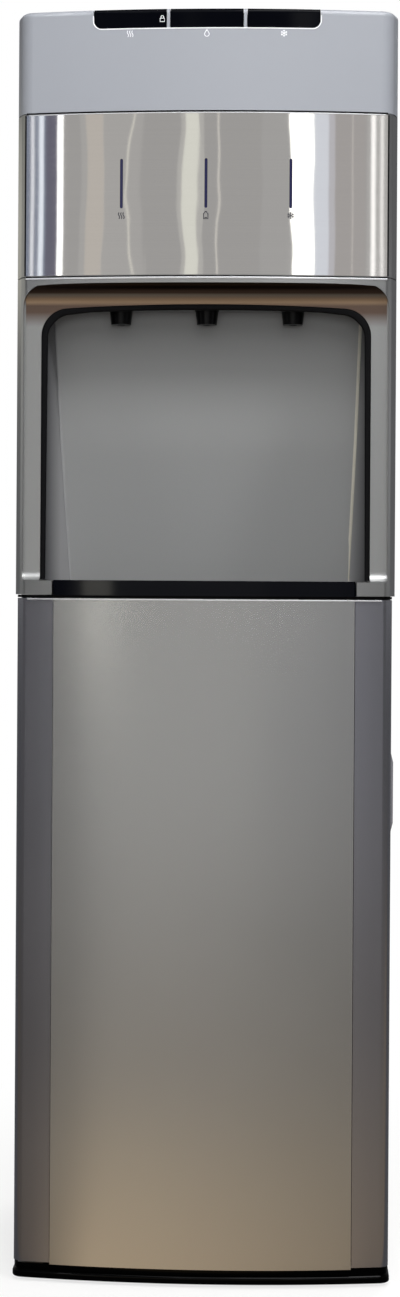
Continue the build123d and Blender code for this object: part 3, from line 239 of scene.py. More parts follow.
head_grey = moulded("head_grey", linear(156, 159, 166), 0.34, grain=1400, relief=0.05, spread=0.02)
spout_black = moulded("spout_black", linear(5, 5, 7), 0.28, grain=1200, relief=0.04, gloss=0.2)
key_black = moulded("key_black", linear(2, 3, 8), 0.09, grain=500, relief=0.01, gloss=0.04)
tray_black = moulded("tray_black", linear(3, 4, 9), 0.09, grain=700, relief=0.005, gloss=0.13)
plinth_black = moulded("plinth_black", linear(2, 2, 2), 0.10, grain=700, relief=0.01, gloss=0.08)
switch_black = moulded("switch_black", linear(26, 26, 28), 0.45)
inner_grey = moulded("inner_grey", linear(186, 188, 190), 0.45, grain=700, relief=0.10)
lock_red = moulded("lock_red", linear(170, 32, 28), 0.35)
rocker_red = moulded("rocker_red", linear(178, 26, 24), 0.15, coat=0.3)
rocker_green = moulded("rocker_green", linear(34, 128, 62), 0.15, coat=0.3)
valve_white = moulded("valve_white", linear(222, 222, 216), 0.40)
probe_white = moulded("probe_white", linear(228, 230, 230), 0.35)
drain_grey = moulded("drain_grey", linear(196, 196, 192), 0.40)
foot_rubber = moulded("foot_rubber", linear(28, 28, 28), 0.75, grain=600, relief=0.2)
gland_black = moulded("gland_black", linear(22, 22, 23), 0.55)
magnet_dark = moulded("magnet_dark", linear(52, 52, 54), 0.6)
print("moulded finishes:", len(bpy.data.materials))

# %% [markdown]
# ### Silver paint
# The frame round the alcove, its liner and the door carry a silver lacquer. Real metallic lacquer is tiny
# aluminium flakes, each at its own tilt, under a clear coat. A cell noise gives each flake its own
# brightness, and the broad noise keeps large areas from looking like a printed sheet. On the frame, faces
# that look down get a dark tone as painted shade, and inside the cove under the lip two browns are painted
# in as painted shade and a painted reflection of the warm floor. On the side walls of the liner the tone is
# lighter at the back as painted light and darker toward the front edge as painted shade.


# %% Painted shade and light in the coat
cove_depth, cove_half = (-0.1605, -0.1585), (0.1490, 0.1500)
# Two browns painted into the cove under the lip: painted shade and a painted reflection of the warm floor.
cove_shade_browns = ((0.790, 0.802, linear(104, 87, 77)), (0.8075, 0.8105, linear(165, 140, 115)))
# Side-wall tones: lighter tones as painted light, and painted shade from the front edge back to a given depth.
wall_front = -0.150
wall_painted_tones = ((1.0, -0.066, 184), (-1.0, -0.020, 190))


def cove_painted_shade(tree, coat, underside_shade):
    """Painted shade and reflection: two browns inside the cove under the lip, and a dark tone on faces that look
    down.
    """
    spot = parts_of(tree, "Object")
    within = ramp(tree, math_node(tree, "ABSOLUTE", spot["X"]), 1.0, 0.0, *cove_half)
    recessed = math_node(tree, "MULTIPLY", ramp(tree, spot["Y"], 0.0, 1.0, *cove_depth), within)
    for low, full, brown in cove_shade_browns:
        under_lip = math_node(tree, "MULTIPLY", ramp(tree, spot["Z"], 0.0, 1.0, low, full), recessed)
        coat = over(tree, under_lip, coat, brown)
    return over(tree, ramp(tree, parts_of(tree, "Normal")["Z"], 1.0, 0.0, -0.60, -0.32), coat, underside_shade)


def wall_painted_tone(tree, coat, front_edge_shade):
    """Painted light and shade on the side walls: a lighter tone, darker toward their front edge."""
    facing, depth = parts_of(tree, "Normal")["X"], parts_of(tree, "Object")["Y"]
    for side, shade_end, lit_tone in wall_painted_tones:
        sideways = ramp(tree, math_node(tree, "MULTIPLY", facing, side), 0.0, 1.0, 0.55, 0.90)
        coat = over(tree, sideways, coat, linear(lit_tone, lit_tone, lit_tone + 2))
        near_edge = ramp(tree, depth, 1.0, 0.0, wall_front, shade_end)
        coat = over(tree, math_node(tree, "MULTIPLY", sideways, near_edge), coat, front_edge_shade)
    return coat


print("browns in the cove:", len(cove_shade_browns))


# %% Silver paint
def silver_paint(name, colour, rough, metal=0.75, flake=5200.0, sparkle=0.10, spread=0.03, underside_shade=None, front_edge_shade=None):
    """Metallic lacquer with fine flakes; the underside tone is painted shade on faces that look down and in the
    cove, the front tone painted shade toward the front edge of side walls.
    """
    made, shader = new_finish(name, colour, rough, metal)
    tree = made.node_tree
    here = place(tree)
    cells = add_node(tree, "TexVoronoi", {"Scale": flake}, {"Vector": here})
    broad = noise(tree, here, 6.0, 4.0)
    base = over(tree, broad, shade(colour, 1 - spread), shade(colour, 1 + spread))
    glint = tree.nodes.new("ShaderNodeMix")
    glint.data_type = "RGBA"
    glint.blend_type = "MULTIPLY"
    glint.inputs["Factor"].default_value = sparkle
    tree.links.new(base, glint.inputs["A"])
    tree.links.new(cells.outputs["Color"], glint.inputs["B"])
    coat = glint.outputs["Result"]
    coat = cove_painted_shade(tree, coat, underside_shade) if underside_shade else coat
    coat = wall_painted_tone(tree, coat, front_edge_shade) if front_edge_shade else coat
    tree.links.new(coat, shader.inputs["Base Color"])
    tree.links.new(ramp(tree, broad, rough * 0.92, rough * 1.08), shader.inputs["Roughness"])
    bump(tree, shader, cells.outputs["Distance"], 0.015, 0.0001)
    return made


# The frame's dark underside tone is painted shade, and the two cove browns are painted shade and a painted
# reflection.
frame_silver = silver_paint("frame_silver", linear(165, 166, 166), 0.30, metal=0.88, underside_shade=linear(54, 46, 46))
# The liner's dark front tone is painted shade on its side walls, and their lighter tones are painted light.
liner_silver = silver_paint("liner_silver", linear(174, 175, 175), 0.50, metal=0.0, front_edge_shade=linear(24, 25, 36))
door_silver = silver_paint("door_silver", linear(176, 176, 175), 0.22, metal=0.88)
stile_grey = silver_paint("stile_grey", linear(160, 160, 167), 0.22, metal=0.90)
panel_grey = silver_paint("panel_grey", linear(118, 117, 112), 0.45, metal=0.35, flake=2600)
print("finishes with silver paint:", len(bpy.data.materials))

# %% [markdown]
# ### Brushed steel
# The fascia is thin stainless sheet, brushed from side to side. Each scratch mirrors sharply along itself
# and smears light across itself, so lamps turn into upright streaks. The shader's anisotropy does the
# smearing, with its tangent running round the upright axis, and stretched noise draws the scratches.


# %% Metals
def brushed(name, colour, rough, stretch, lines=0.25, aniso=0.0, spread=0.06, sag=0.0):
    """Metal with scratches along the axis that isn't stretched; sag is how far thin sheet waves in its middle."""
    made, shader = new_finish(name, colour, rough, 1.0)
    shader.inputs["Anisotropic"].default_value = aniso
    shader.inputs["Anisotropic Rotation"].default_value = 0.25 if aniso else 0.0
    tree = made.node_tree
    if aniso:
        tangent = tree.nodes.new("ShaderNodeTangent")
        tangent.direction_type = "RADIAL"
        tangent.axis = "Z"
        tree.links.new(tangent.outputs["Tangent"], shader.inputs["Tangent"])
    scratches = noise(tree, place(tree, stretch), 60.0, 6.0, 0.7)
    tone = over(tree, scratches, shade(colour, 1 - spread), shade(colour, 1 + spread))
    tree.links.new(tone, shader.inputs["Base Color"])
    tree.links.new(ramp(tree, scratches, rough * 0.8, rough * 1.25), shader.inputs["Roughness"])
    wave = None
    if sag:
        loose = ramp(tree, math_node(tree, "ABSOLUTE", parts_of(tree, "Object")["X"]), 1.0, 0.12, 0.05, 0.11)
        swell = math_node(tree, "SUBTRACT", noise(tree, place(tree, (1, 1, 1.5)), 10.0, 1.0), 0.5)
        swell = math_node(tree, "MULTIPLY", swell, loose)
        wave = bump(tree, shader, swell, 1.0, sag)
    bump(tree, shader, scratches, lines, 0.00005, wave)
    return made


level_brush = (0.03, 0.03, 40)
fascia_steel = brushed("fascia_steel", linear(205, 203, 200), 0.05, level_brush, lines=0.02, aniso=0.97, sag=0.0006)
tank_steel = brushed("tank_steel", linear(206, 206, 206), 0.25, (4, 4, 40), lines=0.2)
zinc_steel = brushed("zinc_steel", linear(176, 178, 180), 0.38, (9, 9, 9), lines=0.3, spread=0.12)
bright_steel = brushed("bright_steel", linear(214, 214, 214), 0.16, (20, 20, 20), lines=0.05)
copper = brushed("copper", linear(198, 122, 84), 0.26, (20, 20, 20), lines=0.1, spread=0.1)
galvanised = brushed("galvanised", linear(150, 152, 153), 0.42, (3, 3, 3), lines=0.15, spread=0.14)
compressor_black = moulded("compressor_black", linear(20, 20, 21), 0.30, grain=300, relief=0.06)
condenser_black = moulded("condenser_black", linear(22, 22, 22), 0.38, grain=300, relief=0.05)
print("materials so far:", len(bpy.data.materials))

# %% [markdown]
# ### Foam, silicone, lenses and boards
# These hide inside, but they show when the door is open or through the louvres. The silicone hose lets a
# little light through. The lenses are dark blue while they are off.


# %% Inside finishes
def tube_silicone(name):
    """Milky silicone hose."""
    made, shader = new_finish(name, linear(222, 222, 214), 0.35)
    shader.inputs["Transmission Weight"].default_value = 0.35
    shader.inputs["IOR"].default_value = 1.41
    tree = made.node_tree
    tree.links.new(ramp(tree, noise(tree, place(tree), 40.0), 0.28, 0.42), shader.inputs["Roughness"])
    return made


foam_white = moulded("foam_white", linear(226, 226, 216), 0.85, grain=260, relief=0.6, spread=0.05)
hose_silicone = tube_silicone("hose_silicone")
lens_blue = moulded("lens_blue", linear(16, 17, 62), 0.12, grain=300, relief=0.01)


def solder_mask(name):
    """Green circuit board with paler tracks."""
    made, shader = new_finish(name, linear(18, 78, 46), 0.35)
    tree = made.node_tree
    values = {"Color1": linear(18, 78, 46), "Color2": linear(22, 88, 52), "Mortar": linear(46, 118, 74)}
    values |= {"Scale": 160.0, "Mortar Size": 0.03}
    tracks = add_node(tree, "TexBrick", values, {"Vector": place(tree)})
    tree.links.new(tracks.outputs["Color"], shader.inputs["Base Color"])
    return made


board_green = solder_mask("board_green")
print("all finishes:", len(bpy.data.materials))

# %% [markdown]
# ## Painting the CAD pieces
# A CAD piece keeps its mesh and its place. Only its material changes, so the list below is the whole step.

# %% Which finish goes on which piece
finish_of = {
    head_grey: ["head_shell"],
    fascia_steel: ["steel_fascia"],
    frame_silver: ["alcove_frame", "fascia_carrier"],
    liner_silver: ["alcove_liner"],
    key_black: ["hot_button", "normal_button", "cold_button"],
    lock_red: ["child_lock"],
    lens_blue: ["indicator_lenses"],
    spout_black: ["hot_spout", "normal_spout", "cold_spout"],
    tray_black: ["drip_tray", "drip_grille"],
    plinth_black: ["base_plinth"],
    foot_rubber: ["rubber_feet", "compressor_grommets"],
    door_silver: ["door_skin"],
    stile_grey: ["door_left_stile", "door_right_stile", "door_top_cap", "door_bottom_cap", "door_grip"],
    inner_grey: ["door_inner_panel"],
    panel_grey: ["left_side_panel", "right_side_panel"],
    galvanised: ["rear_panel"],
    zinc_steel: ["mid_deck", "tank_shelf", "condenser_brackets", "rear_screws", "door_strike"],
    bright_steel: ["button_axle", "button_springs", "door_hinges"],
    magnet_dark: ["door_magnet"],
    board_green: ["button_board", "indicator_board", "power_board"],
    switch_black: ["button_switches", "switch_housings"],
    rocker_red: ["rocker_hot"],
    rocker_green: ["rocker_cold"],
    tank_steel: ["cold_tank", "hot_tank"],
    foam_white: ["cold_tank_foam", "hot_tank_jacket"],
    valve_white: ["dispense_valves", "water_pump"],
    hose_silicone: ["water_hoses"],
    probe_white: ["suction_probe", "probe_clip"],
    drain_grey: ["drain_spigot", "drain_cap"],
    compressor_black: ["compressor"],
    condenser_black: ["condenser_tube", "condenser_wires"],
    copper: ["refrigerant_pipes"],
    gland_black: ["cord_gland"],
}
painted = 0
for finish, names in finish_of.items():
    for name in names:
        node = frame["nodes"][name]
        node.data.materials.clear()
        node.data.materials.append(finish)
        painted += 1
print("painted", painted, "of", len(frame["nodes"]), "CAD pieces")

# %% [markdown]
# ## Tools for small trim
# Trim follows the machine's own lines, above all the crowned front, which is part of a circle seen from
# above. Most trim is one small section swept along a path. A sweep in bmesh keeps the section upright all
# the way, which Blender's curve bevel doesn't promise where a path turns out of its plane.

# %% The crowned front
bow_radius, bow_middle = 0.82014, 0.64014
out_front = Vector((0, -1, 0))
out_back = Vector((0, 1, 0))


def front(x, inset=0.0):
    """Depth of the crowned front at x, set back by an inset."""
    return bow_middle - math.sqrt((bow_radius - inset) ** 2 - x * x)


print("the crowned front stands", round(-front(0) / MM, 1), "mm ahead of the middle")


# %% Pieces and sweeps
def piece(name, mesh, finish, body, crease=35):
    """Turn a bmesh into a piece that rides on a body."""
    data = bpy.data.meshes.new(name)
    bmesh.ops.recalc_face_normals(mesh, faces=mesh.faces)
    mesh.to_mesh(data)
    mesh.free()
    for face in data.polygons:
        face.use_smooth = True
    data.set_sharp_from_angle(angle=math.radians(crease))
    data.materials.append(finish)
    made = bpy.data.objects.new(name, data)
    bpy.context.scene.collection.objects.link(made)
    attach(made, body)
    return made


def sweep(mesh, path, section, outward, closed=False, widths=None):
    """Sweep a section of (sideways, outward) points along a path; widths stretch it sideways step by step."""
    rings, count = [], len(path)
    for step, here in enumerate(path):
        ahead = path[(step + 1) % count] if closed or step + 1 < count else here
        behind = path[step - 1] if closed or step else here
        side = (ahead - behind).cross(outward).normalized()
        side *= widths[step] if widths else 1.0
        rings.append([mesh.verts.new(here + side * a + outward * b) for a, b in section])
    pairs = list(zip(rings, rings[1:] + rings[:1]))
    for near, far in pairs if closed else pairs[:-1]:
        for one, two in zip(range(len(section)), list(range(1, len(section))) + [0]):
            mesh.faces.new((near[one], near[two], far[two], far[one]))
    if not closed:
        mesh.faces.new(rings[0])
        mesh.faces.new(rings[-1])


def swept(name, path, section, outward, finish, body, closed=False, widths=None):
    """A piece made of one section swept along one path."""
    mesh = bmesh.new()
    sweep(mesh, path, section, outward, closed, widths)
    return piece(name, mesh, finish, body)


print("helpers for pieces and sweeps are ready")


# %% Sections
def rounded(width, height, corner, steps=4, lift=0.0):
    """Section of a bar with round corners, standing on its base."""
    points = []
    for mid_a, mid_b, start in (
        (width / 2 - corner, height - corner, 0),
        (-width / 2 + corner, height - corner, 90),
    ):
        for step in range(steps + 1):
            turn = math.radians(start + 90 * step / steps)
            points.append((mid_a + corner * math.cos(turn), lift + mid_b + corner * math.sin(turn)))
    return [(width / 2, lift)] + points + [(-width / 2, lift)]


def arc(middle, radius, start, end, steps=10):
    """Points (u, v) on an arc, angles in degrees."""
    turns = [math.radians(start + (end - start) * step / steps) for step in range(steps + 1)]
    return [(middle[0] + radius * math.cos(turn), middle[1] + radius * math.sin(turn)) for turn in turns]


print("a rounded bar has", len(rounded(1.0, 1.0, 0.2)), "points")

# %% [markdown]
# ## Seal round the alcove
# A black rubber seal lines the edge of the arched opening and hides the joint between frame and liner; its
# black also stands in for the shade at the edge of the opening, as painted shade, and it is widened near the
# top corners and over the spouts. It is one bead swept up one side, round the corner, across the slightly
# crowned top and down again.

# %% Alcove seal
opening_half, opening_top, opening_rise, opening_corner = 0.1365, 0.809, 0.005, 0.023
opening_foot, opening_face = 0.5806, -0.1550
lean = math.atan2(opening_rise * 2, opening_half)
corner_mid = opening_top - opening_rise + opening_corner * (math.tan(lean) - 1 / math.cos(lean))
right_half = [(opening_half, opening_foot + 0.0001)]
right_half += arc((opening_half - opening_corner, corner_mid), opening_corner, 0, 90 - math.degrees(lean), 14)
crown_radius = (opening_half ** 2 + opening_rise ** 2) / (2 * opening_rise)
reach = right_half[-1][0]
for step in range(1, 12):
    x = reach * (1 - step / 12)
    right_half.append((x, opening_top - crown_radius + math.sqrt(crown_radius ** 2 - x * x)))
outline = right_half + [(0.0, opening_top)] + [(-x, z) for x, z in reversed(right_half)]
seal_path = [Vector((x, opening_face, z)) for x, z in outline]
seal_section = [(a - 0.0020, b) for a, b in rounded(0.0040, 0.0026, 0.0009)]
# The widths make the painted shade wider near the top corners and over the spouts.
seal_widths = []
for x, z in outline:
    from_corner = math.hypot(abs(x) - opening_half + 0.007, z - opening_top + 0.010)
    over_spouts = 0.15 * max(0.0, 1 - abs(x) / 0.105) if z > corner_mid else 0.0
    seal_widths.append(1.05 + over_spouts + 0.6 * max(0.0, 1 - from_corner / 0.035))
# This black serves the real seal and door gasket, and the painted shade in gaps and joints.
rubber_and_shade_black = moulded("rubber_and_shade_black", linear(6, 6, 8), 0.5, grain=900, relief=0.1, gloss=0.12)
swept("alcove_seal", seal_path, seal_section, out_front, rubber_and_shade_black, "cabinet", widths=seal_widths)
print("alcove seal", len(seal_path), "steps")

# %% [markdown]
# ## Rounded corners of the alcove
# Where the back wall of the alcove meets its side walls the moulding has a small hollow corner. A
# quarter-round hollow section swept down each corner makes it, on the line where the wall's slope and the
# sides' taper meet. The left one takes the liner's paint; the right one is painted pale as a painted highlight.

# %% Alcove corners
liner_front, liner_half, liner_taper = -0.1548, 0.1345, math.tan(math.radians(4.6))
wall_line = [(-0.1075, 0.806), (-0.0890, 0.7535), (-0.0700, 0.7000), (-0.0432, 0.6400), (-0.0156, 0.5810)]
hollow = 0.0026
hollow_round = arc((hollow, hollow), hollow, 270, 180, 6)[1:-1]
hollow_section = [(0.0, 0.0), (hollow, 0.0)] + hollow_round + [(0.0, hollow)]
from_wall = Vector((0, -0.927, -0.375))
# The right corner's pale paint is a painted highlight.
corner_highlight = silver_paint("corner_highlight", linear(228, 224, 210), 0.40, metal=0.0)
for side in (-1, 1):
    corner_path = [Vector((side * (liner_half - (y - liner_front) * liner_taper), y, z)) for y, z in wall_line]
    section = hollow_section if side > 0 else [(-a, b) for a, b in hollow_section]
    finish, name = (liner_silver, "left_corner") if side < 0 else (corner_highlight, "right_corner")
    alcove_corner = swept(name, corner_path, section, from_wall, finish, "cabinet")
    print(name, len(alcove_corner.data.polygons), "faces")

# %% [markdown]
# ## Gap strip above the door
# Between the alcove frame and the door a dark strip closes the gap, so that no light shows through from the
# sides; its black is painted shade, standing in for the shadow in that gap. It stands behind the front faces
# and follows their crown.

# %% Gap strip
gap_line = [(x, front(x, 0.0035)) for x in [-0.150 + 0.300 * step / 40 for step in range(41)]]
gap_line += [(0.1535, -0.1600), (0.1550, -0.1560), (0.1550, -0.1405)]
gap_line += [(-0.1550, -0.1405), (-0.1550, -0.1560), (-0.1535, -0.1600)]
gap_low, gap_high = 0.5656, 0.5677
gap_mesh = bmesh.new()
levels = [[gap_mesh.verts.new((x, y, z)) for x, y in gap_line] for z in (gap_low, gap_high)]
for step in range(len(gap_line)):
    after = (step + 1) % len(gap_line)
    gap_mesh.faces.new((levels[0][step], levels[0][after], levels[1][after], levels[1][step]))
for level in levels:
    gap_mesh.faces.new(level)
# The strip's black is painted shade in the gap above the door.
piece("gap_strip", gap_mesh, rubber_and_shade_black, "cabinet")
print("gap strip", round(2 * max(x for x, y in gap_line) / MM), "mm long")

# %% [markdown]
# ## Joint and edge lines
# The head, the fascia and the alcove frame meet in thin joints, and black beads in them are painted shade,
# standing in for the shadow in those gaps. The upper edge of the fascia, of the lip and of the door is rounded
# and catches the ceiling light, and pale paint on the beads there adds a painted highlight line. Beads of less
# than two millimetres, swept along the crowned front, make both.


# %% Joint and edge lines
rooted = 0.0006


def front_bead(name, z, tall, proud, finish, body, half=0.149):
    """A bead along the crowned front at height z."""
    path = [Vector((half * (step / 30 - 1), front(half * (step / 30 - 1)), z)) for step in range(61)]
    section = rounded(tall, proud + rooted, min(tall, proud) * 0.48, lift=-rooted)
    swept(name, path, section, out_front, finish, body)


# The pale beads along the upper edges carry a painted highlight, on top of the ceiling light they catch.
edge_highlight = silver_paint("edge_highlight", linear(226, 227, 230), 0.22, metal=0.55)
# The black beads are painted shade in the joints.
front_bead("head_shadow_line", 0.96485, 0.0014, 0.0002, rubber_and_shade_black, "cabinet")
front_bead("fascia_shadow_line", 0.82985, 0.0012, 0.0002, rubber_and_shade_black, "cabinet")
front_bead("fascia_edge", 0.96360, 0.0009, 0.0003, edge_highlight, "cabinet", 0.147)
front_bead("lip_edge", 0.82850, 0.0016, 0.0005, edge_highlight, "cabinet")
front_bead("door_edge", 0.56425, 0.0010, 0.0003, edge_highlight, "door_leaf", 0.146)
fascia_end, end_rows = 0.14955, (0.8312, 0.8650, 0.9000, 0.9300, 0.9634)
# The black end beads are painted shade in the side joints of the fascia.
for side in (-1, 1):
    end_path = [Vector((side * fascia_end, front(fascia_end), z)) for z in end_rows]
    section = rounded(0.0013, 0.0008, 0.0001, lift=-rooted)
    name = "left_fascia_shadow_line" if side < 0 else "right_fascia_shadow_line"
    swept(name, end_path, section, out_front, rubber_and_shade_black, "cabinet")
print("four joints and three pale edges")

# %% [markdown]
# ## Bright lip under the keys
# The edge of the key opening is a small polished chamfer that catches the light as a white line. A thin
# half-round bead on the edge, painted white, stands in for that line as a painted highlight.

# %% Key lip
key_half, key_foot, key_top, key_corner = 0.0936, 1.0328, 1.0440, 0.0072
key_flat = key_half - key_corner
lip_outline = [(-key_half, key_top), (-key_half, key_foot + key_corner)]
lip_outline += arc((-key_flat, key_foot + key_corner), key_corner, 180, 270, 8)[1:]
lip_outline += [(key_flat * (step / 15 - 1), key_foot) for step in range(1, 30)]
lip_outline += arc((key_flat, key_foot + key_corner), key_corner, 270, 360, 8)
lip_outline += [(key_half, key_top)]
lip_path = [Vector((x, front(x), z)) for x, z in lip_outline]
lip_section = rounded(0.0010, 0.0004, 0.0003, lift=-0.0002)
# The bead's white is a painted highlight.
key_lip_highlight = moulded("key_lip_highlight", linear(246, 246, 248), 0.2, grain=1500, relief=0.02)
swept("key_lip", lip_path, lip_section, out_front, key_lip_highlight, "cabinet")
print("key lip", len(lip_path), "steps")

# %% [markdown]
# ## Printed signs
# Under each key and each lamp slot there is a small print. Plain signs that anyone reads, waves for hot, a
# drop for normal, a snow star for cold and a bottle for empty, are drawn as strokes of ink a tenth of a
# millimetre thick on the crowned front.


# %% Signs
ink_thick, ink_round, thin_stroke, wide_stroke = 0.0001, 0.00004, 0.0006, 0.0008


def wave_sign(size):
    """Three rising waves."""
    rows = []
    for shift in (-0.36, 0.0, 0.36):
        sway = [(shift + 0.10 * math.sin(2 * math.pi * t / 12), t / 12 - 0.5) for t in range(13)]
        rows.append([(u * size, v * size) for u, v in sway])
    return rows


def drop_sign(size):
    """A drop with its point up."""
    bowl = arc((0, -0.16 * size), 0.34 * size, 150, 390, 20)
    return [[(0, 0.5 * size)] + bowl + [(0, 0.5 * size)]]


def snow_sign(size):
    """A six-armed star with small barbs."""
    rows = []
    for arm in range(6):
        turn = math.radians(60 * arm + 90)
        along, across = (math.cos(turn), math.sin(turn)), (-math.sin(turn), math.cos(turn))
        rows.append([(0, 0), (0.5 * size * along[0], 0.5 * size * along[1])])
        for side in (-1, 1):
            root = (0.28 * size * along[0], 0.28 * size * along[1])
            tip = [0.42 * size * a + side * 0.14 * size * c for a, c in zip(along, across)]
            rows.append([root, tuple(tip)])
    return rows


def bottle_sign(size):
    """The outline of a water bottle with a low level line."""
    half, neck = 0.30 * size, 0.11 * size
    body = [(-neck, 0.5 * size), (-neck, 0.36 * size), (-half, 0.22 * size), (-half, -0.5 * size)]
    level = [(-0.6 * half, -0.34 * size), (0.6 * half, -0.34 * size)]
    return [body + [(-u, v) for u, v in reversed(body)] + [body[0]], level]


def print_sign(name, rows, x, z, stroke, ink):
    """Ink strokes on the crowned front."""
    mesh = bmesh.new()
    for row in rows:
        path = [Vector((x + u, front(x + u), z + v)) for u, v in row]
        sweep(mesh, path, rounded(stroke, ink_thick, ink_round, 2), out_front)
    piece(name, mesh, ink, "cabinet")


def lock_sign(size):
    """A small padlock."""
    half, top = 0.32 * size, 0.04 * size
    shackle = [(-0.2 * size, top)] + arc((0, 0.22 * size), 0.2 * size, 180, 0, 10) + [(0.2 * size, top)]
    return [[(-half, top), (half, top), (half, -0.46 * size), (-half, -0.46 * size), (-half, top)], shackle]


print("strokes of a snow star:", len(snow_sign(1.0)))

# %% Print the signs
ink_white = moulded("ink_white", linear(240, 241, 244), 0.4, grain=2500, relief=0.02, spread=0.02)
ink_grey = moulded("ink_grey", linear(44, 44, 52), 0.45, grain=2500, relief=0.02, spread=0.04)
key_pitch, key_row = 0.0631, 1.0287
slot_pitch, slot_row = 0.0695, 0.8795
key_signs = {"hot_key_sign": wave_sign(0.0052), "normal_key_sign": drop_sign(0.0056)}
key_signs["cold_key_sign"] = snow_sign(0.0056)
for (name, rows), x in zip(key_signs.items(), (-key_pitch, 0.0, key_pitch)):
    print_sign(name, rows, x, key_row, thin_stroke, ink_white)
lamp_signs = {"hot_lamp_sign": wave_sign(0.0052), "empty_lamp_sign": bottle_sign(0.0060)}
lamp_signs["cold_lamp_sign"] = snow_sign(0.0056)
for (name, rows), x in zip(lamp_signs.items(), (-slot_pitch, 0.0, slot_pitch)):
    print_sign(name, rows, x, slot_row, wide_stroke, ink_grey)
print("six signs printed on the front")

# %% Lock sign on the hot key
lock_x, lock_row = -0.0368, 1.0415
lock_mesh = bmesh.new()
for row in lock_sign(0.0056):
    lock_path = []
    for u, v in row:
        x, z = lock_x + u, lock_row + v
        on_key = frame["nodes"]["hot_button"].ray_cast(Vector((x, -0.5, z)), out_back)[1]
        lock_path.append(Vector((x, on_key.y, z)))
    sweep(lock_mesh, lock_path, rounded(thin_stroke, ink_thick, ink_round, 2), out_front)
piece("lock_key_sign", lock_mesh, ink_white, "hot_key")
print("a lock printed on the hot key")

# %% [markdown]
# ## Door gasket
# The door closes on a soft gasket that covers the joint between the inner panel and the stiles. It is a bead
# with a hollow back on the real door; here the visible bead is enough.

# %% Door gasket
gasket_half, gasket_low, gasket_high, gasket_corner, gasket_face = 0.129, 0.026, 0.545, 0.010, -0.1421
gasket_outline = []
for mid_x, mid_z, start in ((1, 1, 0), (-1, 1, 90), (-1, -1, 180), (1, -1, 270)):
    high = gasket_high - gasket_corner if mid_z > 0 else gasket_low + gasket_corner
    gasket_outline += arc((mid_x * (gasket_half - gasket_corner), high), gasket_corner, start, start + 90, 6)
gasket_path = [Vector((x, gasket_face, z)) for x, z in gasket_outline]
gasket_section = rounded(0.0090, 0.0016, 0.0007)
swept("door_gasket", gasket_path, gasket_section, out_back, rubber_and_shade_black, "door_leaf", closed=True)
print("gasket", len(gasket_path), "steps")

# %% [markdown]
# ## Rear screws
# Pan head screws with a cross recess hold the rear panel. One screw is turned as rings of points, the cross is
# cut with a boolean, and the finished mesh is copied to its eight places, each turned at random as a
# screwdriver leaves it.

# %% One screw
screw_head = [(0.0, 0.0022), (0.0014, 0.00215), (0.0026, 0.0018), (0.0033, 0.0012), (0.0036, 0.0005), (0.0036, 0.0)]
screw_head += [(0.0016, 0.0), (0.0016, -0.0066), (0.0010, -0.0070), (0.0, -0.0070)]
around = [2 * math.pi * step / 28 for step in range(28)]
screw_mesh = bmesh.new()
rings = []
for radius, rise in screw_head[1:-1]:
    ring = [(radius * math.cos(turn), rise, radius * math.sin(turn)) for turn in around]
    rings.append([screw_mesh.verts.new(point) for point in ring])
for near, far in zip(rings, rings[1:]):
    for step in range(len(around)):
        after = (step + 1) % len(around)
        screw_mesh.faces.new((near[step], near[after], far[after], far[step]))
screw_mesh.faces.new(rings[0])
screw_mesh.faces.new(rings[-1])
bmesh.ops.recalc_face_normals(screw_mesh, faces=screw_mesh.faces)
print("screw blank", len(screw_mesh.faces), "faces")

# %% Cut the cross
cross_long, cross_thin, cross_middle, cross_deep = 0.0038, 0.0009, 0.0019, 0.0022
cross_mesh = bmesh.new()
for wide, tall in ((cross_long, cross_thin), (cross_thin, cross_long)):
    for corner in bmesh.ops.create_cube(cross_mesh, size=1.0)["verts"]:
        squeeze = 0.55 if corner.co.y < 0 else 1.0
        depth = cross_middle + corner.co.y * cross_deep
        corner.co = Vector((corner.co.x * wide * squeeze, depth, corner.co.z * tall * squeeze))
screw_data, cross_data = bpy.data.meshes.new("screw_blank"), bpy.data.meshes.new("screw_cross")
screw_mesh.to_mesh(screw_data)
cross_mesh.to_mesh(cross_data)
screw_blank = bpy.data.objects.new("screw_blank", screw_data)
screw_cross = bpy.data.objects.new("screw_cross", cross_data)
for made in (screw_blank, screw_cross):
    bpy.context.scene.collection.objects.link(made)
cut = screw_blank.modifiers.new("cross", "BOOLEAN")
cut.operation, cut.object, cut.solver, cut.use_self = "DIFFERENCE", screw_cross, "EXACT", True
bpy.context.view_layer.update()
one_screw = bpy.data.meshes.new_from_object(screw_blank.evaluated_get(bpy.context.evaluated_depsgraph_get()))
for made in (screw_blank, screw_cross):
    bpy.data.objects.remove(made)
print("cut screw", len(one_screw.polygons), "faces")

# %% Eight screws
rear_face = 0.1510
all_screws = bmesh.new()
spin = random.Random(4)
for x in (-0.1485, 0.1485):
    for z in (0.070, 0.36333, 0.65667, 0.950):
        before = len(all_screws.verts)
        all_screws.from_mesh(one_screw)
        all_screws.verts.ensure_lookup_table()
        seat = Matrix.Translation((x, rear_face, z)) @ Matrix.Rotation(spin.uniform(0, math.pi), 4, "Y")
        bmesh.ops.transform(all_screws, matrix=seat, verts=all_screws.verts[before:])
cross_screws = piece("cross_screws", all_screws, zinc_steel, "cabinet")
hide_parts("rear_screws")
print("rear screws:", len(cross_screws.data.polygons) // len(one_screw.polygons))

# %% [markdown]
# ## Key springs
# A coil under each key pushes it back up. In the CAD model the three coils are one stiff part, and a pressed
# key would go through them. Here each coil is cut out as a piece of its own, at the width of its key.

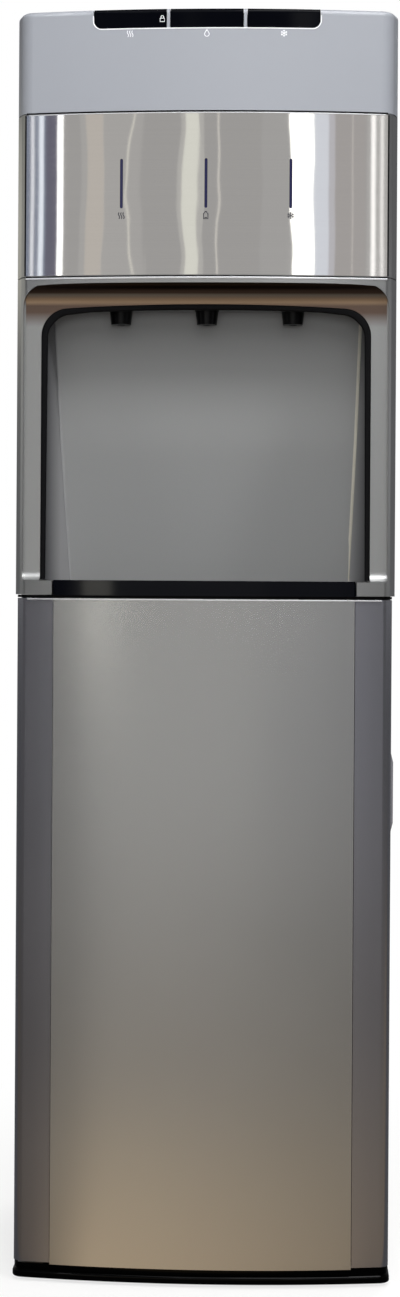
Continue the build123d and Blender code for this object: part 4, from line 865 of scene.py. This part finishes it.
# %% Key springs
spring_node = frame["nodes"]["button_springs"]
spring_low, spring_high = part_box("button_springs")
for key in ("hot", "normal", "cold"):
    key_low, key_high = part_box(key + "_button")
    coil_mesh = bmesh.new()
    coil_mesh.from_mesh(spring_node.data)
    outside = [v for v in coil_mesh.verts if not key_low[0] < v.co.x < key_high[0]]
    bmesh.ops.delete(coil_mesh, geom=outside, context="VERTS")
    coil = piece(key + "_spring", coil_mesh, bright_steel, "cabinet")
    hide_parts("button_springs")
    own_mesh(coil)
    print(coil.name, round((spring_high[2] - spring_low[2]) / MM, 1), "mm tall")

# %% [markdown]
# ## The studio
# A wide pale floor carries the machine. Near the machine it takes shadows, and further out it glows softly
# into the white of the backdrop, so no edge of the floor shows from any side.


# %% Floor
def stage_sheet(name, mesh, finish):
    """A flat piece of the studio, which is no part of the machine."""
    data = bpy.data.meshes.new(name)
    mesh.to_mesh(data)
    mesh.free()
    data.materials.append(finish)
    made = bpy.data.objects.new(name, data)
    bpy.context.scene.collection.objects.link(made)
    print(name, len(data.polygons), "faces")
    return made


floor_mesh = bmesh.new()
bmesh.ops.create_circle(floor_mesh, cap_ends=True, segments=96, radius=14.0)
floor_white = moulded("floor_white", linear(244, 243, 240), 0.9, grain=40, relief=0.02, spread=0.01, gloss=0.1)
floor_tree = floor_white.node_tree
from_middle = floor_tree.nodes.new("ShaderNodeVectorMath")
from_middle.operation = "LENGTH"
floor_tree.links.new(place(floor_tree), from_middle.inputs[0])
floor_glow = floor_tree.nodes.new("ShaderNodeEmission")
floor_glow.inputs["Color"].default_value = (1.0, 1.0, 1.0, 1.0)
fade = floor_tree.nodes.new("ShaderNodeMixShader")
floor_tree.links.new(ramp(floor_tree, from_middle.outputs["Value"], 0.68, 1.0, 0.1, 0.7), fade.inputs["Fac"])
floor_tree.links.new(floor_tree.nodes["Principled BSDF"].outputs["BSDF"], fade.inputs[1])
floor_tree.links.new(floor_glow.outputs["Emission"], fade.inputs[2])
floor_tree.links.new(fade.outputs["Shader"], floor_tree.nodes["Material Output"].inputs["Surface"])
studio_floor = stage_sheet("studio_floor", floor_mesh, floor_white)
studio_floor.visible_glossy = studio_floor.visible_diffuse = False

# %% [markdown]
# ## Light
# Silver and steel show what stands in front of them, so the light is laid out as the bowed front mirrors it. A
# point at x on the crowned front sends the eye's ray out at a known bearing, so each upright streak in the
# steel is a narrow lamp standing at that bearing. No lamp or card shows itself to the camera.


# %% Lamp helpers
def soft_box(name, where, target, size, power, colour=(1, 1, 1)):
    """Rectangular lamp that faces a target and hides from the camera."""
    data = bpy.data.lights.new(name, "AREA")
    data.shape = "RECTANGLE"
    data.size, data.size_y = size
    data.energy = power
    data.color = colour
    lamp = bpy.data.objects.new(name, data)
    bpy.context.scene.collection.objects.link(lamp)
    lamp.location = where
    lamp.rotation_euler = (Vector(target) - Vector(where)).to_track_quat("-Z", "Y").to_euler()
    lamp.visible_camera = False
    return lamp


def mirrored(x, distance):
    """Where a ray from the eye to the front at x, mirrored there, passes a line far ahead."""
    depth = front(x)
    normal = math.asin(x / bow_radius)
    inward = math.atan2(eye.x - x, depth - eye.y)
    return x + distance * math.tan(2 * normal - inward)


def strip(name, x, width, glow, colour=(1, 1, 1), span=(0.95, 1.95), distance=3.0):
    """Upright lamp whose mirror image stands at x on the front; x and width in mm, glow as radiance."""
    left, right = mirrored((x - width / 2) * MM, distance), mirrored((x + width / 2) * MM, distance)
    across, tall = right - left, span[1] - span[0]
    where = Vector(((left + right) / 2, front(0) - distance, (span[0] + span[1]) / 2))
    soft_box(name, where, where + Vector((0, 1, 0)), (across, tall), glow * math.pi * across * tall, colour)


print("a streak at 100 mm mirrors", round(mirrored(0.1, 3.0), 2), "m to the side")

# %% [markdown]
# ### Air and soft boxes
# The air of the studio is white to the camera and dim to everything else, so the backdrop doesn't wash out
# the silver. A large box overhead gives the shadows, and fills ahead, at both sides and behind lighten the
# alcove and the back. A mirror would show the fills as shapes, so they hide from reflections. The card under
# the ceiling does the opposite: it only shows in reflections, as the pale line along each upper edge.

# %% Air
world = bpy.data.worlds.new("studio_air")
bpy.context.scene.world = world
world.use_nodes = True
air = world.node_tree
dim_air = air.nodes["Background"]
dim_air.inputs["Color"].default_value = (0.95, 0.96, 1.0, 1.0)
air.links.new(ramp(air, parts_of(air, "Generated")["Y"], 0.09, 0.16, 0.0, 0.8), dim_air.inputs["Strength"])
white_back = air.nodes.new("ShaderNodeBackground")
white_back.inputs["Color"].default_value = (1.0, 1.0, 1.0, 1.0)
seen = air.nodes.new("ShaderNodeLightPath")
pick = air.nodes.new("ShaderNodeMixShader")
air.links.new(seen.outputs["Is Camera Ray"], pick.inputs["Fac"])
air.links.new(dim_air.outputs["Background"], pick.inputs[1])
air.links.new(white_back.outputs["Background"], pick.inputs[2])
air.links.new(pick.outputs["Shader"], air.nodes["World Output"].inputs["Surface"])
print("air:", len(air.nodes), "nodes")

# %% Soft boxes
soft_box("overhead_box", (0.55, -1.6, 3.1), (0, -0.2, 0.6), (2.6, 3.0), 52)
alcove_middle = (0.0, -0.1, 0.7)
for name, where, target, size, power in (
    ("rear_box", (0.9, 3.2, 2.2), (0, 0.1, 0.6), (2.0, 1.6), 110),
    ("low_fill", (0.1, -3.4, 0.75), alcove_middle, (0.8, 0.4), 11),
    ("middle_fill", (0.1, -3.4, 1.95), alcove_middle, (0.8, 1.3), 16),
    ("high_fill", (0.1, -3.0, 3.6), alcove_middle, (1.0, 1.6), 46),
    ("right_fill", (2.2, -2.4, 2.9), alcove_middle, (0.8, 0.8), 40),
    ("left_fill", (-2.2, -2.4, 2.9), alcove_middle, (0.8, 0.8), 22),
):
    soft_box(name, where, target, size, power).visible_glossy = False


def mirror_card(name, where, target, size, glow, colour=(1, 1, 1)):
    """Lamp that only shows in reflections; glow as radiance."""
    soft_box(name, where, target, size, glow * math.pi * size[0] * size[1], colour).visible_diffuse = False


mirror_card("ceiling_card", (0.75, -1.2, 2.9), (0.75, -1.2, 0.0), (1.3, 1.6), 6.0)
print("soft boxes:", len(bpy.data.lights))

# %% [markdown]
# ### Panels, edge cards and streaks
# Broad dim panels ahead give the steel and the door their even grey: low ones for the door, high ones for
# the fascia. A small bright window shows in the tray, and three high lamps make the glints on the plinth.
# Cards at the sides and behind show in the rounded edges alone. Last come the narrow streaks of the fascia,
# from left to right.

# %% Panels
low, high = (0.0, 0.95), (0.95, 2.3)
for name, x, width, glow, colour, span, distance in (
    ("left_panel", -30, 160, 0.535, (1.0, 0.99, 0.96), low, 3.4),
    ("middle_panel", 82, 64, 0.38, (0.99, 0.99, 1.0), low, 3.4),
    ("right_panel", 130, 32, 0.28, (0.94, 0.95, 1.0), low, 3.4),
    ("wide_panel_high", 13.5, 273, 0.445, (1.0, 0.99, 0.98), high, 3.6),
    ("left_panel_high", -78, 52, 0.065, (1.0, 0.98, 0.93), high, 3.4),
    ("right_panel_high", 58, 24, 0.035, (0.9, 0.95, 1.0), high, 3.4),
    ("right_end_high", 118, 26, 0.03, (1.0, 0.5, 0.45), high, 3.4),
    ("left_end_high", -141, 16, 0.34, (0.62, 0.72, 1.0), high, 3.4),
    ("left_gap_high", -128, 10, 0.18, (0.66, 0.64, 1.0), high, 3.4),
    ("right_tip_high", 139, 14, 0.09, (1.0, 0.97, 0.97), high, 3.4),
    ("window_blob", -88, 24, 6.4, (1.0, 0.97, 0.86), (0.545, 0.610), 3.0),
    ("base_glint_left", -125, 9, 28.0, (1, 1, 1), (2.3, 2.6), 3.0),
    ("base_glint_middle", -24, 9, 14.0, (1, 1, 1), (2.3, 2.5), 3.0),
    ("base_glint_right", 142, 5, 28.0, (1, 1, 1), (2.3, 2.6), 3.0),
):
    strip(name, x, width, glow, colour, span, distance)
print("lamps with panels:", len(bpy.data.lights))


# %% Edge cards
def side_card(name, x, span, glow, colour):
    """Broad upright card beside the machine."""
    where = Vector((x, -0.05, (span[0] + span[1]) / 2))
    mirror_card(name, where, Vector((0, where.y, where.z)), (3.1, span[1] - span[0]), glow, colour)


cream = (1.0, 0.96, 0.80)
mirror_card("rear_card", (-2.0, 3.0, 1.39), (-2.0, 0.0, 1.39), (3.2, 0.42), 0.70, cream)
side_card("left_card", -2.2, (0.60, 1.07), 0.45, (1.0, 1.0, 0.98))
side_card("left_card_high", -2.2, (1.08, 1.345), 0.82, cream)
side_card("right_card", 2.2, (0.60, 1.07), 0.42, (0.98, 0.98, 1.0))
print("lamps with cards:", len(bpy.data.lights))

# %% Streaks
strip("streak_edge_left", -140.9, 1.5, 1.1)
strip("streak_left_thin", -136.3, 2.6, 1.15, (0.9, 0.95, 1.0))
strip("streak_left", -121.0, 4.8, 2.2)
strip("streak_rose", -92, 14, 0.14, (1.0, 0.75, 0.45))
strip("streak_rose_line", -85.5, 2.2, 0.16, (1.0, 0.85, 0.65))
strip("streak_pale", -60, 1.5, 0.36, (1.0, 0.97, 0.80))
strip("streak_yellow_soft", -12.5, 19, 0.14, (1.0, 1.0, 0.90), distance=3.2)
strip("streak_yellow", -13, 11, 0.38, (0.97, 1.0, 0.84))
strip("streak_middle", 9, 1.5, 0.42, (1.0, 0.95, 0.84))
strip("streak_right", 79.5, 18.5, 2.2, (1.0, 1.0, 0.96))
strip("streak_lilac", 94.5, 12, 0.62, (0.74, 0.82, 1.0))
strip("streak_lilac_dim", 103, 5, 0.26, (0.78, 0.79, 1.0))
strip("streak_right_thin", 120.4, 0.8, 0.3, (1.0, 0.94, 0.86))
strip("streak_right_edge", 136.7, 2.2, 1.2)
strip("streak_edge_right", 141.2, 1.6, 0.85)
print("all lamps:", len(bpy.data.lights))

# %% [markdown]
# ### Floor card
# The lower door mirrors the floor ahead of it: warm near the machine, grey further out, and brightest a little
# left of the middle. A glowing card just over the floor carries these tones. Its brightness follows the bearing
# from the machine, since that is what the bowed door spreads over its width. Only reflections see it.


# %% Floor card
def bare_glow(name):
    """A material that only glows, with its node tree, its glow and its output."""
    made = bpy.data.materials.new(name)
    made.use_nodes = True
    tree = made.node_tree
    tree.nodes.clear()
    glow, out = tree.nodes.new("ShaderNodeEmission"), tree.nodes.new("ShaderNodeOutputMaterial")
    tree.links.new(glow.outputs["Emission"], out.inputs["Surface"])
    return made, tree, glow, out


def tone_stops(tree, factor, stops):
    """Colour that runs through a list of positions and colours."""
    made = tree.nodes.new("ShaderNodeValToRGB")
    marks = made.color_ramp.elements
    marks[0].position, marks[0].color = stops[0]
    marks[1].position, marks[1].color = stops[-1]
    for position, colour in stops[1:-1]:
        marks.new(position).color = colour
    tree.links.new(factor, made.inputs["Fac"])
    return made.outputs["Color"]


card_far, card_near, card_side, card_lift = -4.0, -0.2, 2.5, 0.004
card_brown, card_tree, card_glow, _ = bare_glow("card_brown")
card_place = parts_of(card_tree, "Object")
card_tones = [(0.0, (0.56, 0.55, 0.54, 1)), (0.45, (0.43, 0.41, 0.38, 1)), (0.78, (0.42, 0.37, 0.31, 1))]
card_tones += [(0.90, (0.68, 0.54, 0.37, 1)), (1.0, (0.80, 0.60, 0.38, 1))]
card_along = ramp(card_tree, card_place["Y"], 0.0, 1.0, card_far, card_near)
card_tree.links.new(tone_stops(card_tree, card_along, card_tones), card_glow.inputs["Color"])
bearing_glow = [(0.05, 0.15), (0.14, 0.46), (0.23, 0.90), (0.36, 0.86)]
bearing_glow += [(0.50, 0.77), (0.74, 0.58), (0.84, 0.51), (0.92, 0.33)]
card_sides = [(position, (glow, glow, glow, 1)) for position, glow in bearing_glow]
card_ahead = math_node(card_tree, "SUBTRACT", 0.17, card_place["Y"])
card_bearing = ramp(card_tree, math_node(card_tree, "DIVIDE", card_place["X"], card_ahead), 0.0, 1.0, -0.5, 0.5)
card_level = math_node(card_tree, "MULTIPLY", tone_stops(card_tree, card_bearing, card_sides), 1.16)
card_tree.links.new(card_level, card_glow.inputs["Strength"])
card_mesh = bmesh.new()
card_edge = ((-card_side, card_far), (card_side, card_far), (card_side, card_near), (-card_side, card_near))
card_mesh.faces.new([card_mesh.verts.new((x, y, card_lift)) for x, y in card_edge])
floor_card = stage_sheet("floor_card", card_mesh, card_brown)
floor_card.visible_camera = floor_card.visible_diffuse = floor_card.visible_shadow = False

# %% [markdown]
# ### Bright floor to the sides
# Seen from the side, polished steel mirrors the pale floor beside the machine. The studio floor hides from
# mirrors, since the front view needs the brown card there, so two fans of glowing floor lie left and right, at
# bearings that the bowed front never mirrors to an eye ahead of it. Light linking shows them to the steel, the
# door skin and the side panels alone. They are clear as well as glowing, so every other piece looks through them.

# %% Side floor
fan_inner, fan_outer, fan_lift = 0.45, 9.0, 0.006
fan_mesh = bmesh.new()
for side in (-1, 1):
    inner, outer = [], []
    for angle in range(30, 151, 10):
        sine, cosine = side * math.sin(math.radians(angle)), -math.cos(math.radians(angle))
        inner.append(fan_mesh.verts.new((fan_inner * sine, fan_inner * cosine, fan_lift)))
        outer.append(fan_mesh.verts.new((fan_outer * sine, fan_outer * cosine, fan_lift)))
    for step in range(len(inner) - 1):
        fan_mesh.faces.new((inner[step], inner[step + 1], outer[step + 1], outer[step]))
fan_white, fan_tree, fan_glow, fan_out = bare_glow("fan_white")
fan_glow.inputs["Color"].default_value = (1.0, 0.99, 0.97, 1.0)
fan_place = parts_of(fan_tree, "Object")
fan_bearing = math_node(fan_tree, "ABSOLUTE", math_node(fan_tree, "ARCTAN2", fan_place["X"], fan_place["Y"]))
fan_level = ramp(fan_tree, fan_bearing, 0.50, 0.12, math.radians(140), math.radians(150))
fan_tree.links.new(fan_level, fan_glow.inputs["Strength"])
fan_clear, fan_both = fan_tree.nodes.new("ShaderNodeBsdfTransparent"), fan_tree.nodes.new("ShaderNodeAddShader")
fan_tree.links.new(fan_glow.outputs["Emission"], fan_both.inputs[0])
fan_tree.links.new(fan_clear.outputs["BSDF"], fan_both.inputs[1])
fan_tree.links.new(fan_both.outputs["Shader"], fan_out.inputs["Surface"])
side_floor = stage_sheet("side_floor", fan_mesh, fan_white)
side_floor.visible_camera = side_floor.visible_diffuse = side_floor.visible_shadow = False
mirrors = bpy.data.collections.new("side_mirrors")
for node in ("steel_fascia", "door_skin", "left_side_panel", "right_side_panel"):
    mirrors.objects.link(frame["nodes"][node])
side_floor.light_linking.receiver_collection = mirrors
